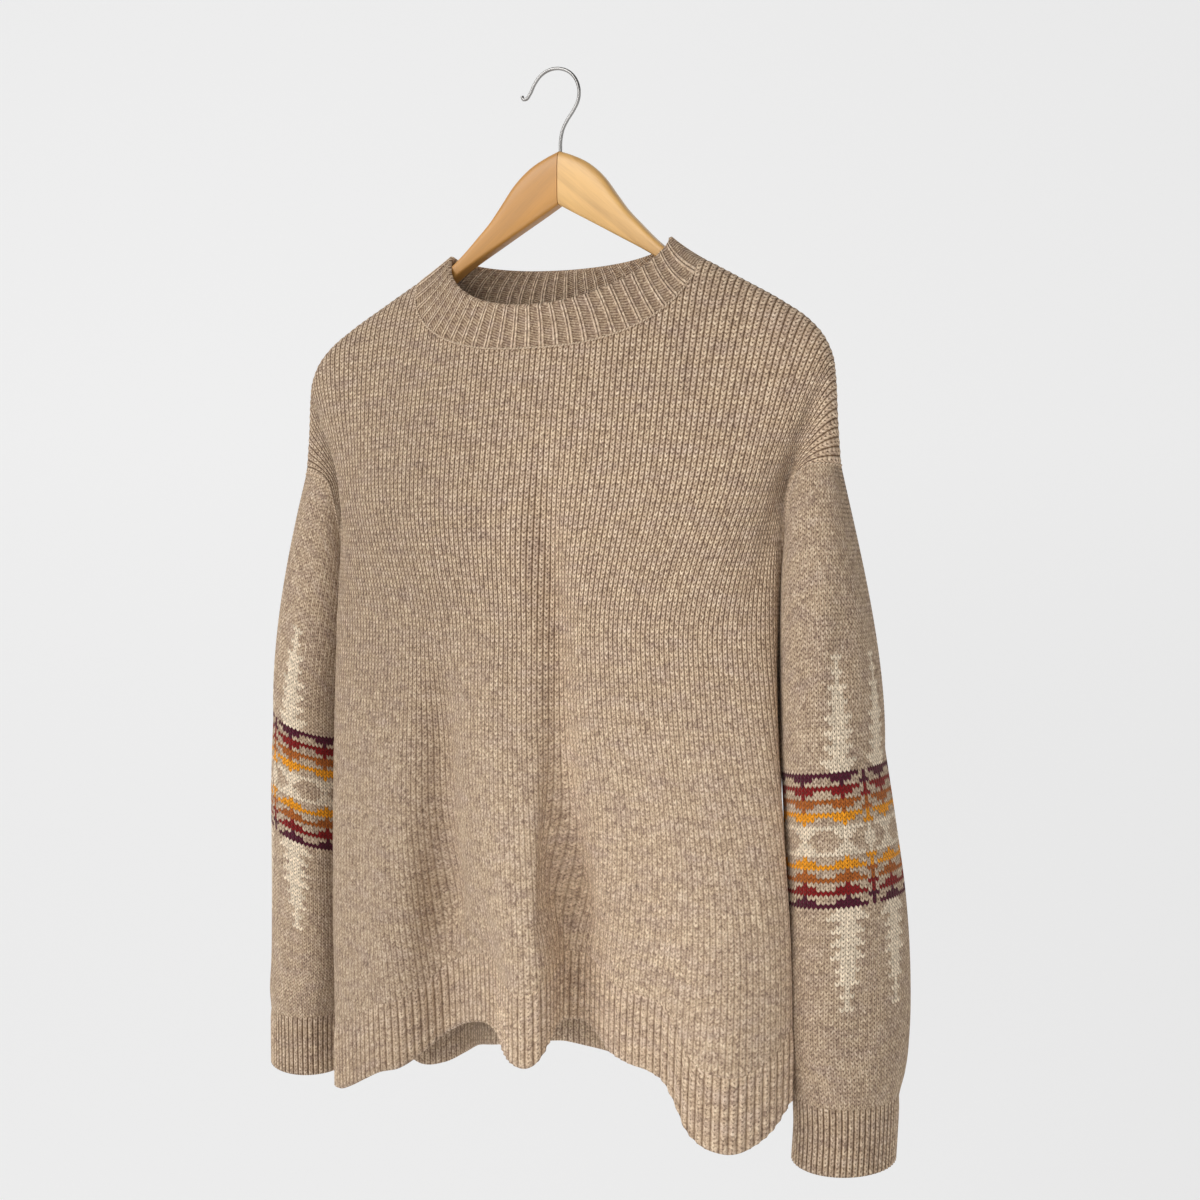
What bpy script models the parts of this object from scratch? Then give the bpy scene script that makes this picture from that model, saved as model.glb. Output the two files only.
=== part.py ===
"""Knitted crew-neck sweater hanging on a contoured wooden hanger.

Frame: +Z up, +X to the right of someone who faces the front, the front faces -Y.
The origin is the bearing point at the top of the inside of the hanger's hook.
Lengths below are in millimetres; meshes are written in metres.

The cloth is a wall of real thickness. Front and back share one set of columns,
counted across each panel from -1 (left seam) to +1 (right seam), and one set of
rows: the yoke, from the shoulder line to the underarm, then the lower body.
"""
import math

import bmesh
import bpy
import numpy as np

MM = 0.001

# ---- driving sizes -------------------------------------------------------------------
CLOTH = 2.6             # thickness of the plain knit
RIB_CLOTH = 2.8         # thickness of the ribbed bands
RIB_RELIEF = 1.1        # how far a rib stands above the groove beside it
SEAM_GAP = 0.35         # clearance left between two sewn pieces

PANEL_COLUMNS = 64      # columns across the front, and across the back
NECK_COLUMNS = 14       # of those, the columns from the centre to the shoulder line
# Rows of the yoke, as shares of the way from the shoulder line to the underarm. They are
# close together at the top, where the cloth bends over the hanger.
YOKE_SHARES = (0.0, 0.03, 0.07, 0.13, 0.21, 0.31, 0.42, 0.55, 0.70, 0.85)
YOKE_ROWS = len(YOKE_SHARES)
BODY_ROWS = 5           # rows from the underarm to the top of the hem rib
SLEEVE_ROWS = 11
HEM_RIBS = 62           # ribs of the hem across the front, and across the back
CUFF_EDGES = 4          # rib edges for each sleeve column

UNDERARM_Z = -470.0
HEM_RIB_HEIGHT = 56.0
CUFF_TOP_Z = -811.0
CUFF_BOTTOM_Z = -862.0

# Neck seam, where the collar is sewn on: a rounded cut in the front and in the back.
NECK_HALF_WIDTH = 129.0
NECK_SIDE_Z = -164.0
NECK_ACROSS = 0.44      # share of a half panel that the neck takes
NECK_DROP = {-1: 68.0, 1: 22.0}
NECK_ROUND = 2.6
# The collar's free top edge.
COLLAR_HALF_WIDTH = 101.0
COLLAR_SIDE_Z = -145.0
COLLAR_DROP = {-1: 54.0, 1: 15.0}
COLLAR_REACH = {-1: 47.0, 1: 32.0}
COLLAR_ROUND = 1.12

# ---- hanger --------------------------------------------------------------------------
ARM_COLUMNS = ("x", "top", "bottom", "half_depth")
ARM = (
    (0.3, -66.0, -110.0, 6.6),
    (12.0, -70.5, -116.6, 6.8),
    (27.0, -78.5, -124.8, 7.0),
    (41.0, -91.0, -132.5, 7.0),
    (52.0, -105.5, -138.6, 7.0),
    (62.0, -118.5, -144.1, 7.0),
    (74.0, -131.0, -150.7, 7.0),
    (86.0, -143.0, -157.8, 7.0),
    (98.0, -153.2, -166.2, 7.0),
    (112.0, -161.4, -175.0, 6.9),
    (129.0, -170.8, -185.0, 6.8),
    (166.0, -191.8, -206.5, 6.6),
    (197.0, -209.8, -225.0, 6.4),
    (215.0, -222.8, -238.5, 6.2),
    (224.0, -231.0, -243.5, 5.4),
    (229.0, -236.5, -245.0, 3.4),
)
ARM_END_FORWARD = 15.0     # how far the ends of the contoured hanger come forward
ARM_REACH = 229.0
HALVES_GAP = 0.6           # glue line between the two halves
SECTION_SIDES = 12

WIRE_RADIUS = 1.4
HOOK_COLUMNS = ("x", "z")
HOOK = (
    (-35.6, -17.0), (-34.6, -19.6), (-31.8, -19.8), (-28.2, -16.0), (-24.0, -8.6),
    (-18.6, -2.6), (-11.0, 1.1), (-1.5, 1.4), (7.6, -2.2), (14.0, -9.0), (17.0, -17.6),
    (16.2, -26.4), (11.8, -34.2), (6.2, -41.4), (2.2, -48.4), (0.4, -55.6), (0.0, -66.3),
)

# ---- body ----------------------------------------------------------------------------
# The shoulder line runs along the hanger's arm and then falls over its end, to the top
# of the armhole. Across counts from the centre, 0, to the side, 1; the neck is cut away
# from the part below 0.44. Pull is how far the cloth runs out level before it falls.
SHOULDER_COLUMNS = ("across", "x", "z", "pull")
SHOULDER = (
    (0.00, 0.0, -126.0, 250.0),
    (0.22, 64.5, -135.0, 220.0),
    (0.44, 129.0, -164.0, 140.0),
    (0.55, 166.0, -184.5, 126.0),
    (0.64, 197.0, -202.5, 122.0),
    (0.70, 217.0, -216.5, 120.0),
    (0.745, 229.0, -229.5, 118.0),
    (0.785, 235.5, -242.5, 118.0),
    (0.84, 238.5, -259.0, 116.0),
    (0.92, 240.5, -293.0, 112.0),
    (1.00, 243.0, -328.0, 112.0),
)
# The chest line, a little above the underarm, where the cloth turns from the shoulder
# slope to the fall of the body. The dip between 0.77 and 1 is the crease beside the arm.
CHEST_COLUMNS = ("across", "x", "front_y", "back_y", "z")
CHEST = (
    (0.00, 0.0, -72.0, 32.0, -335.0),
    (0.22, 64.0, -70.0, 31.0, -333.0),
    (0.44, 124.0, -63.0, 26.0, -330.0),
    (0.60, 166.0, -54.0, 20.0, -331.0),
    (0.70, 189.0, -45.0, 13.0, -334.0),
    (0.77, 199.0, -35.0, 5.0, -337.0),
    (0.84, 201.5, -26.0, -2.0, -339.0),
    (0.92, 205.0, -25.0, -5.0, -340.0),
    (1.00, 211.0, -30.0, -2.0, -341.0),
)
CHEST_AT = 0.42            # where the chest line lies between shoulder, 0, and underarm, 1

# The lower body, level by level: 0 at the underarm, 1 at the top of the hem rib.
# Seam is where the side seam lies, tucked in behind the fold edges beside the sleeve;
# swing is how far the body hangs over to +X.
LEVEL_COLUMNS = ("level", "front_width", "back_width", "seam", "swing", "centre_y", "front",
                 "back", "fold")
LEVELS = (
    (0.00, 204.0, 198.0, 197.0, 0.0, -15.0, 61.0, 52.0, 0.00),
    (0.25, 208.0, 195.0, 190.0, 1.0, -15.0, 63.0, 54.0, 0.05),
    (0.50, 212.0, 194.0, 182.0, 3.0, -15.0, 64.0, 56.0, 0.25),
    (0.75, 215.0, 195.0, 177.0, 5.0, -15.0, 63.0, 57.0, 0.65),
    (1.00, 216.0, 196.0, 175.0, 6.0, -15.0, 60.0, 57.0, 1.00),
    (1.25, 216.0, 196.0, 175.0, 6.0, -15.0, 59.0, 56.0, 1.10),
)
SECTION_SQUARE = 0.62
TUCK_START = 73.0          # degrees round a panel's outline where the side tuck begins
# Vertical folds of the lower body. Reach is forward on the front, backward on the back;
# a squareness of 2 is a soft swell, 4 a fold with steep flanks. The front's folds lean
# over to +X as they come forward.
FOLD_COLUMNS = ("x", "half_width", "reach", "squareness")
FRONT_FOLDS = ((-146.0, 40.0, 8.0, 2), (-74.0, 34.0, -24.0, 2), (2.0, 25.0, 26.0, 4),
               (46.0, 26.0, -26.0, 2), (158.0, 46.0, 26.0, 2))
BACK_FOLDS = ((-138.0, 46.0, 12.0, 2), (-74.0, 34.0, -26.0, 2), (0.0, 36.0, 14.0, 2),
              (78.0, 34.0, -28.0, 2), (146.0, 44.0, 10.0, 2))
FOLD_LEAN = {-1: 0.5, 1: 0.0}
# Height of the hem's lower edge across the body.
HEM_COLUMNS = ("place", "front_z", "back_z")
HEM = (
    (-210.0, -866.0, -848.0),
    (-199.0, -863.0, -848.0),
    (-182.0, -854.0, -850.0),
    (-165.0, -843.0, -862.0),
    (-146.0, -832.0, -860.0),
    (-124.0, -826.0, -848.0),
    (-100.0, -814.0, -833.0),
    (-74.0, -796.0, -824.0),
    (-53.0, -783.0, -822.0),
    (-36.0, -778.5, -823.0),
    (-27.0, -782.0, -824.0),
    (-20.0, -791.0, -826.0),
    (-10.0, -795.0, -828.5),
    (4.0, -794.0, -830.0),
    (13.0, -788.0, -830.0),
    (20.0, -779.0, -830.0),
    (27.0, -771.5, -829.0),
    (40.0, -770.5, -826.0),
    (54.0, -771.5, -823.5),
    (62.0, -776.0, -822.0),
    (72.0, -785.0, -822.0),
    (86.0, -789.0, -824.0),
    (107.0, -791.5, -829.0),
    (116.0, -796.0, -831.0),
    (124.0, -809.0, -833.0),
    (132.0, -826.0, -834.5),
    (141.0, -834.0, -836.0),
    (155.0, -838.0, -838.0),
    (178.0, -836.0, -836.0),
    (200.0, -821.0, -836.0),
    (209.0, -808.0, -836.0),
)

# ---- sleeves -------------------------------------------------------------------------
# Turn-in is how far the front of a sleeve turns in behind the body's edge.
SLEEVE_COLUMNS = ("z", "x", "y", "half_width", "half_depth", "turn_in")
SLEEVE = (
    (-545.0, 235.0, 2.0, 35.5, 54.0, 0.0),
    (-600.0, 240.0, 5.0, 38.0, 54.0, 2.0),
    (-660.0, 244.0, 8.0, 40.5, 53.5, 6.0),
    (-720.0, 246.0, 7.5, 41.5, 52.5, 9.5),
    (-770.0, 246.5, 5.0, 41.5, 50.0, 9.5),
    (-796.0, 247.5, 2.0, 40.0, 46.0, 7.0),
    (-811.0, 248.0, 0.0, 37.5, 42.0, 6.0),
    (-830.0, 248.5, -1.0, 37.0, 40.0, 6.0),
    (-862.0, 247.5, -3.0, 37.0, 39.0, 6.0),
)
SLEEVE_OUT = {1: 0.0, -1: 9.5}     # how much further out each sleeve hangs
SLEEVE_HEAD = 0.42         # share of the sleeve's rows spent on its head, above -545


def column(table, names, name):
    """Return one named column of a table as an array."""
    return np.array([row[names.index(name)] for row in table], dtype=float)


def smooth_read(table, names, key, name, at):
    """Read a column at the given keys, along a smooth curve through the table's rows."""
    keys = column(table, names, key)
    values = column(table, names, name)
    slopes = np.gradient(values, keys)
    at = np.clip(np.asarray(at, dtype=float), keys[0], keys[-1])
    row = np.clip(np.searchsorted(keys, at, side="right") - 1, 0, len(keys) - 2)
    span = keys[row + 1] - keys[row]
    share = (at - keys[row]) / span
    return (values[row] * (1 + 2 * share) * (1 - share) ** 2
            + slopes[row] * span * share * (1 - share) ** 2
            + values[row + 1] * share ** 2 * (3 - 2 * share)
            + slopes[row + 1] * span * share ** 2 * (share - 1))


def unit(vectors):
    """Return vectors scaled to length one."""
    lengths = np.linalg.norm(vectors, axis=-1, keepdims=True)
    return vectors / np.maximum(lengths, 1e-9)


def smooth_step(value):
    """Ease from 0 to 1."""
    value = np.clip(value, 0.0, 1.0)
    return value * value * (3.0 - 2.0 * value)


def arm_forward(x):
    """Depth of the hanger's centre line, which comes forward towards its ends."""
    return -ARM_END_FORWARD * (np.abs(x) / ARM_REACH) ** 1.2


# ---- the shape of the front and back -------------------------------------------------
def panel_columns():
    """Places of the columns across a panel: closer together where the neck seam is steep."""
    turn = np.radians(np.linspace(0.0, 90.0, NECK_COLUMNS + 1))
    neck = NECK_ACROSS * np.sin(turn)
    shoulder = np.linspace(NECK_ACROSS, 1.0, PANEL_COLUMNS // 2 - NECK_COLUMNS + 1)[1:]
    half = np.concatenate([neck, shoulder])
    return np.concatenate([-half[:0:-1], half])


def neck_height(x, facing):
    """Height of the neck seam at a distance from the centre."""
    size = np.clip(np.abs(x) / NECK_HALF_WIDTH, 0.0, 1.0)
    return NECK_SIDE_Z - NECK_DROP[facing] * np.sqrt(1.0 - size ** NECK_ROUND)


def collar_edge(turn, facing):
    """Point on the collar's top edge; turn is 0 at the centre, +-90 degrees at the side."""
    cosine = np.abs(np.cos(turn)) ** COLLAR_ROUND
    side_y = arm_forward(COLLAR_HALF_WIDTH)
    return np.stack([COLLAR_HALF_WIDTH * np.sin(turn),
                     side_y + facing * COLLAR_REACH[facing] * cosine,
                     COLLAR_SIDE_Z - COLLAR_DROP[facing] * cosine], axis=-1)


def shoulder_line(across, facing):
    """Top line of a panel before its neck is cut, and the cloth's pull away from it."""
    size = np.abs(across)
    x = smooth_read(SHOULDER, SHOULDER_COLUMNS, "across", "x", size)
    z = smooth_read(SHOULDER, SHOULDER_COLUMNS, "across", "z", size)
    pull = smooth_read(SHOULDER, SHOULDER_COLUMNS, "across", "pull", size)
    top = np.stack([np.sign(across) * x, arm_forward(np.minimum(x, ARM_REACH)), z], axis=-1)
    return top, np.stack([0 * x, facing * pull, 0 * x], axis=-1)


def chest_line(across, facing):
    """Guide line across a panel between the shoulder line and the underarm."""
    size = np.abs(across)
    name = "front_y" if facing < 0 else "back_y"
    x = smooth_read(CHEST, CHEST_COLUMNS, "across", "x", size)
    y = smooth_read(CHEST, CHEST_COLUMNS, "across", name, size)
    z = smooth_read(CHEST, CHEST_COLUMNS, "across", "z", size)
    return np.stack([np.sign(across) * x, y, z], axis=-1)


def body_outline(across, level, facing):
    """Plan outline of a panel at one level of the lower body, spaced along the cloth.

    Returns x, y and the place across the body before the folds lean over.
    """
    size = {name: float(smooth_read(LEVELS, LEVEL_COLUMNS, "level", name, level))
            for name in LEVEL_COLUMNS[1:]}
    half_width = size["front_width"] if facing < 0 else size["back_width"]
    turn = np.radians(np.linspace(-90.0, 90.0, 721))
    tuck = smooth_step((np.degrees(np.abs(turn)) - TUCK_START) / (90.0 - TUCK_START)) ** 2
    x = half_width * np.sin(turn) - np.sign(turn) * tuck * (half_width - size["seam"])
    depth = size["front"] if facing < 0 else size["back"]
    folds = FRONT_FOLDS if facing < 0 else BACK_FOLDS
    reach = depth * np.cos(turn) ** SECTION_SQUARE
    fade = smooth_step(np.cos(turn) / 0.45)
    folded = 0 * x
    for fold_x, fold_half_width, fold_reach, squareness in folds:
        bell = np.exp(-np.abs((x - fold_x) / fold_half_width) ** squareness)
        folded = folded + fold_reach * size["fold"] * bell * fade
    place = x
    x = x + size["swing"] + FOLD_LEAN[facing] * folded
    y = size["centre_y"] + facing * (reach + folded)
    length = np.concatenate([[0.0], np.cumsum(np.hypot(np.diff(x), np.diff(y)))])
    middle = length[len(turn) // 2]
    wanted = np.where(across < 0, middle * (1 + across),
                      middle + (length[-1] - middle) * across)
    return [np.interp(wanted, length, values) for values in (x, y, place)]


def body_points(across, level, facing):
    """Points of the lower body along one row; level 1 is the top of the hem rib."""
    x, y, _ = body_outline(across, level, facing)
    name = "front_z" if facing < 0 else "back_z"
    place = body_outline(across, 1.25, facing)[2]
    hem_z = smooth_read(HEM, HEM_COLUMNS, "place", name, place)
    rib_z = hem_z + HEM_RIB_HEIGHT
    above = UNDERARM_Z + (rib_z - UNDERARM_Z) * level
    below = rib_z - HEM_RIB_HEIGHT * (level - 1.0) / 0.25
    return np.stack([x, y, np.where(level <= 1.0, above, below)], axis=-1)


def yoke_surface(across, share, facing):
    """Points of the yoke; share is 0 at the shoulder line and 1 at the underarm."""
    top, pull = shoulder_line(across, facing)
    middle = chest_line(across, facing)
    low = body_points(across, 0.0, facing)
    fall = unit(body_points(across, 0.04, facing) - low)
    through = low - top
    fall = fall * np.linalg.norm(low - middle, axis=-1)[..., None] / (1.0 - CHEST_AT)
    share = share[..., None]
    high = share < CHEST_AT
    span = np.where(high, CHEST_AT, 1.0 - CHEST_AT)
    at = np.where(high, share, share - CHEST_AT) / span
    start, end = np.where(high, top, middle), np.where(high, middle, low)
    leave = np.where(high, pull / (2 * CHEST_AT), through)
    arrive = np.where(high, through, fall)
    return (start * (1 + 2 * at) * (1 - at) ** 2 + leave * span * at * (1 - at) ** 2
            + end * at ** 2 * (3 - 2 * at) + arrive * span * at ** 2 * (at - 1))


def neck_share(across, facing):
    """Share of the yoke at which the neck seam cuts each column, 0 beyond the neck."""
    low, high = np.zeros_like(across), np.full_like(across, 0.9)
    for _ in range(40):
        middle = (low + high) / 2
        point = yoke_surface(across, middle, facing)
        above = point[..., 2] > neck_height(point[..., 0], facing)
        low, high = np.where(above, middle, low), np.where(above, high, middle)
    return np.where(np.abs(across) < NECK_ACROSS - 1e-6, low, 0.0)


def panel_grid(facing):
    """Outer points of the front or back, row by row, from the shoulder to the rib."""
    across = panel_columns()
    neck = neck_share(across, facing)
    rows = [yoke_surface(across, neck + (1 - neck) * share, facing)
            for share in YOKE_SHARES]
    rows += [body_points(across, row / BODY_ROWS, facing) for row in range(BODY_ROWS + 1)]
    return np.array(rows)


def grid_normals(points, closed=False):
    """Outward directions of a grid whose rows run down and columns run rightward."""
    down = np.gradient(points, axis=0)
    if closed:
        right = np.roll(points, -1, axis=1) - np.roll(points, 1, axis=1)
    else:
        right = np.gradient(points, axis=1)
    return unit(np.cross(down, right))


def share_normals(first, second):
    """Give two edges that are sewn together the same direction of thickness."""
    both = unit(first + second)
    first[...] = both
    second[...] = both


# ---- building solids -----------------------------------------------------------------
def make_material(name, colour, roughness, metallic=0.0):
    """A plain finish with the piece's colour."""
    material = bpy.data.materials.new(name)
    material.use_nodes = True
    shader = material.node_tree.nodes["Principled BSDF"]
    shader.inputs["Base Color"].default_value = (*colour, 1.0)
    shader.inputs["Roughness"].default_value = roughness
    shader.inputs["Metallic"].default_value = metallic
    return material


def add_object(name, mesh, material, collection):
    """Link a mesh to the scene as one named sub-part."""
    obj = bpy.data.objects.new(name, mesh)
    obj.data.materials.append(material)
    collection.objects.link(obj)
    return obj


def wall_object(name, outer, inner, closed, material, collection):
    """Close the space between two point grids into one solid wall.

    Rows run down the cloth; closed joins the last column to the first, as on a tube.
    """
    rows, columns = outer.shape[:2]
    mesh_data = bmesh.new()
    faces = [[mesh_data.verts.new(point * MM) for point in grid.reshape(-1, 3)]
             for grid in (outer, inner)]
    steps = columns if closed else columns - 1

    def at(side, row, step):
        return faces[side][row * columns + step % columns]

    for row in range(rows - 1):
        for step in range(steps):
            mesh_data.faces.new((at(0, row, step), at(0, row + 1, step),
                                 at(0, row + 1, step + 1), at(0, row, step + 1)))
            mesh_data.faces.new((at(1, row, step), at(1, row, step + 1),
                                 at(1, row + 1, step + 1), at(1, row + 1, step)))
    for step in range(steps):
        mesh_data.faces.new((at(0, 0, step), at(0, 0, step + 1),
                             at(1, 0, step + 1), at(1, 0, step)))
        mesh_data.faces.new((at(0, rows - 1, step + 1), at(0, rows - 1, step),
                             at(1, rows - 1, step), at(1, rows - 1, step + 1)))
    if not closed:
        for row in range(rows - 1):
            mesh_data.faces.new((at(0, row + 1, 0), at(0, row, 0),
                                 at(1, row, 0), at(1, row + 1, 0)))
            mesh_data.faces.new((at(0, row, steps), at(0, row + 1, steps),
                                 at(1, row + 1, steps), at(1, row, steps)))
    bmesh.ops.recalc_face_normals(mesh_data, faces=mesh_data.faces)
    bmesh.ops.triangulate(mesh_data, faces=mesh_data.faces)
    mesh = bpy.data.meshes.new(name)
    mesh_data.to_mesh(mesh)
    mesh_data.free()
    mesh.shade_smooth()
    mesh.set_sharp_from_angle(angle=math.radians(50))
    return add_object(name, mesh, material, collection)


def trim_edges(outer, inner, gap):
    """Draw the side edges of an open wall in by half a seam gap."""
    for grid in (outer, inner):
        grid[:, 0] += unit(grid[:, 1] - grid[:, 0]) * gap / 2
        grid[:, -1] += unit(grid[:, -2] - grid[:, -1]) * gap / 2
    return outer, inner


def finer(edge, factor, closed=False):
    """Points along an edge at a finer spacing, on the straight runs between its points."""
    count = len(edge)
    ends = np.concatenate([edge, edge[:1]]) if closed else edge
    steps = count * factor if closed else (count - 1) * factor + 1
    at = np.arange(steps) / factor
    index = np.arange(len(ends))
    return np.stack([np.interp(at, index, ends[:, axis]) for axis in range(3)], axis=-1)


def build_body(cloth, ribbing, collection):
    """Front, back, and the two halves of the hem rib.

    Returns the outer and inner points of the front and the back.
    """
    grids = {"front": panel_grid(-1), "back": panel_grid(1)}
    normals = {"front": grid_normals(grids["front"]), "back": -grid_normals(grids["back"])}
    neck_edge = PANEL_COLUMNS // 2 - NECK_COLUMNS
    for end in (slice(0, neck_edge + 1), slice(PANEL_COLUMNS - neck_edge, None)):
        share_normals(normals["front"][0, end], normals["back"][0, end])
    for side in (0, -1):
        share_normals(normals["front"][YOKE_ROWS:, side], normals["back"][YOKE_ROWS:, side])
    walls = {}
    for name, facing in (("front", -1), ("back", 1)):
        outer = grids[name]
        inner = outer - normals[name] * CLOTH
        outer, inner = trim_edges(outer, inner, SEAM_GAP)
        for grid in (outer, inner):
            grid[0] += unit(grid[1] - grid[0]) * SEAM_GAP / 2
        walls[name] = (outer, inner)
        wall_object(name, outer, inner, False, cloth, collection)
        build_hem(name, facing, outer, inner, ribbing, collection)
    return walls


def build_hem(panel, facing, outer, inner, ribbing, collection):
    """The ribbed band below a panel, its top edge on the panel's bottom edge."""
    count = 2 * HEM_RIBS + 1
    across = np.linspace(-1.0, 1.0, count)
    low = body_points(across, 1.25, facing)
    down = unit(low - body_points(across, 1.21, facing))
    normal = unit(np.cross(down, np.gradient(low, axis=0))) * -facing
    relief = RIB_RELIEF * (np.arange(count) % 2)[:, None]
    drop = np.array([0.0, 0.0, -1.4 * SEAM_GAP])
    columns = panel_columns()
    top = [np.stack([np.interp(across, columns, edge[:, axis]) for axis in range(3)], axis=-1)
           for edge in (outer[-1], inner[-1])]
    lower = trim_edges(np.array([low + normal * relief]), np.array([low - normal * RIB_CLOTH]),
                       SEAM_GAP)
    band_outer = np.array([top[0] + drop + normal * relief * 0.8, lower[0][0]])
    band_inner = np.array([top[1] + drop, lower[1][0]])
    wall_object("hem_" + panel, band_outer, band_inner, False, ribbing, collection)


def build_collar(walls, ribbing, collection):
    """The ribbed collar: a tube that rises from the neck seam to its free edge."""
    middle = PANEL_COLUMNS // 2
    neck = slice(middle - NECK_COLUMNS, middle + NECK_COLUMNS + 1)
    seam = [np.concatenate([walls["front"][side][0, neck][:-1],
                            walls["back"][side][0, neck][:0:-1]]) for side in (0, 1)]
    turns = np.linspace(-math.pi / 2, math.pi / 2, 4 * NECK_COLUMNS + 1)[:-1]
    top = np.concatenate([collar_edge(turns, -1), collar_edge(-turns, 1)])
    base_outer = finer(seam[0], 2, closed=True)
    base_inner = finer(seam[1], 2, closed=True)
    along = np.roll(base_outer, -1, axis=0) - np.roll(base_outer, 1, axis=0)
    up = unit(np.cross(base_outer - base_inner, along))
    height = np.linalg.norm(top - base_outer, axis=-1, keepdims=True)
    lean = unit(top - base_outer)
    half = (base_outer + top) / 2 + (up - lean) * height * 0.16
    rows = np.array([top, half, base_outer])
    normals = grid_normals(rows, closed=True)
    relief = RIB_RELIEF * (np.arange(rows.shape[1]) % 2)[:, None]
    outer = rows + normals * relief
    inner = rows - normals * RIB_CLOTH
    corner = (np.abs(base_outer[:, :1]) / NECK_HALF_WIDTH) ** 8
    lift = up * SEAM_GAP * (1.0 + 1.5 * corner)
    outer[2] = base_outer + unit(base_outer - base_inner) * relief * 0.8 + lift
    inner[2] = base_inner + lift
    wall_object("collar", outer, inner, True, ribbing, collection)


def sleeve_ring(turn, z, side):
    """One level ring of a sleeve, as on the right; turn 0 is its outer side, 90 its front."""
    at = -z
    size = {name: smooth_read([(-row[0], *row[1:]) for row in SLEEVE], SLEEVE_COLUMNS,
                              "z", name, at) for name in SLEEVE_COLUMNS[1:]}
    return np.stack([size["x"] + SLEEVE_OUT[side] + size["half_width"] * np.cos(turn)
                     - size["turn_in"] * np.sin(turn),
                     size["y"] - size["half_depth"] * np.sin(turn),
                     z + 0 * turn], axis=-1)


def build_sleeve(side, walls, cloth, ribbing, collection):
    """One sleeve from its armhole seam to the cuff, and the ribbed cuff."""
    name = "right" if side > 0 else "left"
    mirror = np.array([side, 1.0, 1.0])
    edge = -1 if side > 0 else 0
    loops = []
    for face in (0, 1):
        front = walls["front"][face][:YOKE_ROWS + 1, edge]
        back = walls["back"][face][:YOKE_ROWS + 1, edge]
        loops.append(np.concatenate([front, back[-2:0:-1]]) * mirror)
    columns = 2 * YOKE_ROWS
    turn = np.arange(columns) * 2 * math.pi / columns
    seam_outer, seam_inner = loops
    seam_outer[0, 1] = seam_inner[0, 1] = arm_forward(ARM_REACH)
    shares = np.array([*YOKE_SHARES, 1.0, *YOKE_SHARES[:0:-1]])[:, None]
    depth = unit(seam_inner - seam_outer)
    mirrored = smooth_step((shares - 0.5) / 0.35)
    depth = unit(depth * (1 - mirrored) + depth * (-1.0, 1.0, 1.0) * mirrored) * CLOTH
    sideways = smooth_step((shares - 0.15) / 0.3)
    away = unit(np.array([0.0, 0.0, -1.0]) * (1 - sideways)
                + np.array([1.0, 0.0, 0.0]) * sideways)
    start = seam_outer + away * SEAM_GAP * (1.4 + 1.2 * sideways)
    head_z = SLEEVE[0][0]
    end = sleeve_ring(turn, head_z, side)
    outward = np.stack([np.cos(turn), -np.sin(turn), 0 * turn], axis=-1)
    fall = np.array([0.0, 0.0, -1.0]) * np.linalg.norm(end - start, axis=-1)[:, None]
    leave = (end - start) * 0.9 + outward * 26.0 * np.abs(np.sin(turn))[:, None]
    head_rows = round(SLEEVE_ROWS * SLEEVE_HEAD)
    rows = []
    for row in range(head_rows):
        at = row / head_rows
        rows.append(start * (1 + 2 * at) * (1 - at) ** 2 + leave * at * (1 - at) ** 2
                    + end * at ** 2 * (3 - 2 * at) + fall * at ** 2 * (at - 1))
    for z in np.linspace(head_z, CUFF_TOP_Z, SLEEVE_ROWS - head_rows + 1):
        rows.append(sleeve_ring(turn, z, side))
    outer = np.array(rows)
    normals = -grid_normals(outer, closed=True)
    inner = outer - normals * CLOTH
    inner[0] = outer[0] + depth
    wall_object("sleeve_" + name, outer * mirror, inner * mirror, True, cloth, collection)

    count = columns * CUFF_EDGES
    fine_turn = np.arange(count) * 2 * math.pi / count
    cuff = np.array([sleeve_ring(fine_turn, CUFF_TOP_Z - SEAM_GAP, side),
                     sleeve_ring(fine_turn, CUFF_BOTTOM_Z, side)])
    normals = -grid_normals(cuff, closed=True)
    relief = RIB_RELIEF * (np.arange(count) % 2)[:, None]
    wall_object("cuff_" + name, (cuff + normals * relief) * mirror,
                (cuff - normals * RIB_CLOTH) * mirror, True, ribbing, collection)


# ---- hanger --------------------------------------------------------------------------
def build_hanger_arm(side, wood, collection):
    """One half of the wooden hanger, lofted through rounded sections along its arm."""
    mesh_data = bmesh.new()
    rings = []
    for x, top, bottom, half_depth in ARM:
        x = max(x, HALVES_GAP / 2)
        half_height = (top - bottom) / 2
        ring = []
        for step in range(SECTION_SIDES):
            turn = 2 * math.pi * (step + 0.5) / SECTION_SIDES
            flat = 0.5 if math.sin(turn) < 0 else 0.85
            wide = math.copysign(abs(math.cos(turn)) ** flat, math.cos(turn))
            tall = math.copysign(abs(math.sin(turn)) ** flat, math.sin(turn))
            ring.append(mesh_data.verts.new((side * x * MM,
                                             (arm_forward(x) + half_depth * wide) * MM,
                                             ((top + bottom) / 2 + half_height * tall) * MM)))
        rings.append(ring)
    for ring, following in zip(rings, rings[1:]):
        for step in range(SECTION_SIDES):
            after = (step + 1) % SECTION_SIDES
            mesh_data.faces.new((ring[step], ring[after], following[after], following[step]))
    mesh_data.faces.new(rings[0])
    mesh_data.faces.new(rings[-1])
    bmesh.ops.recalc_face_normals(mesh_data, faces=mesh_data.faces)
    bmesh.ops.triangulate(mesh_data, faces=mesh_data.faces)
    name = "hanger_arm_" + ("right" if side > 0 else "left")
    mesh = bpy.data.meshes.new(name)
    mesh_data.to_mesh(mesh)
    mesh_data.free()
    mesh.shade_smooth()
    mesh.set_sharp_from_angle(angle=math.radians(60))
    return add_object(name, mesh, wood, collection)


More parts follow.
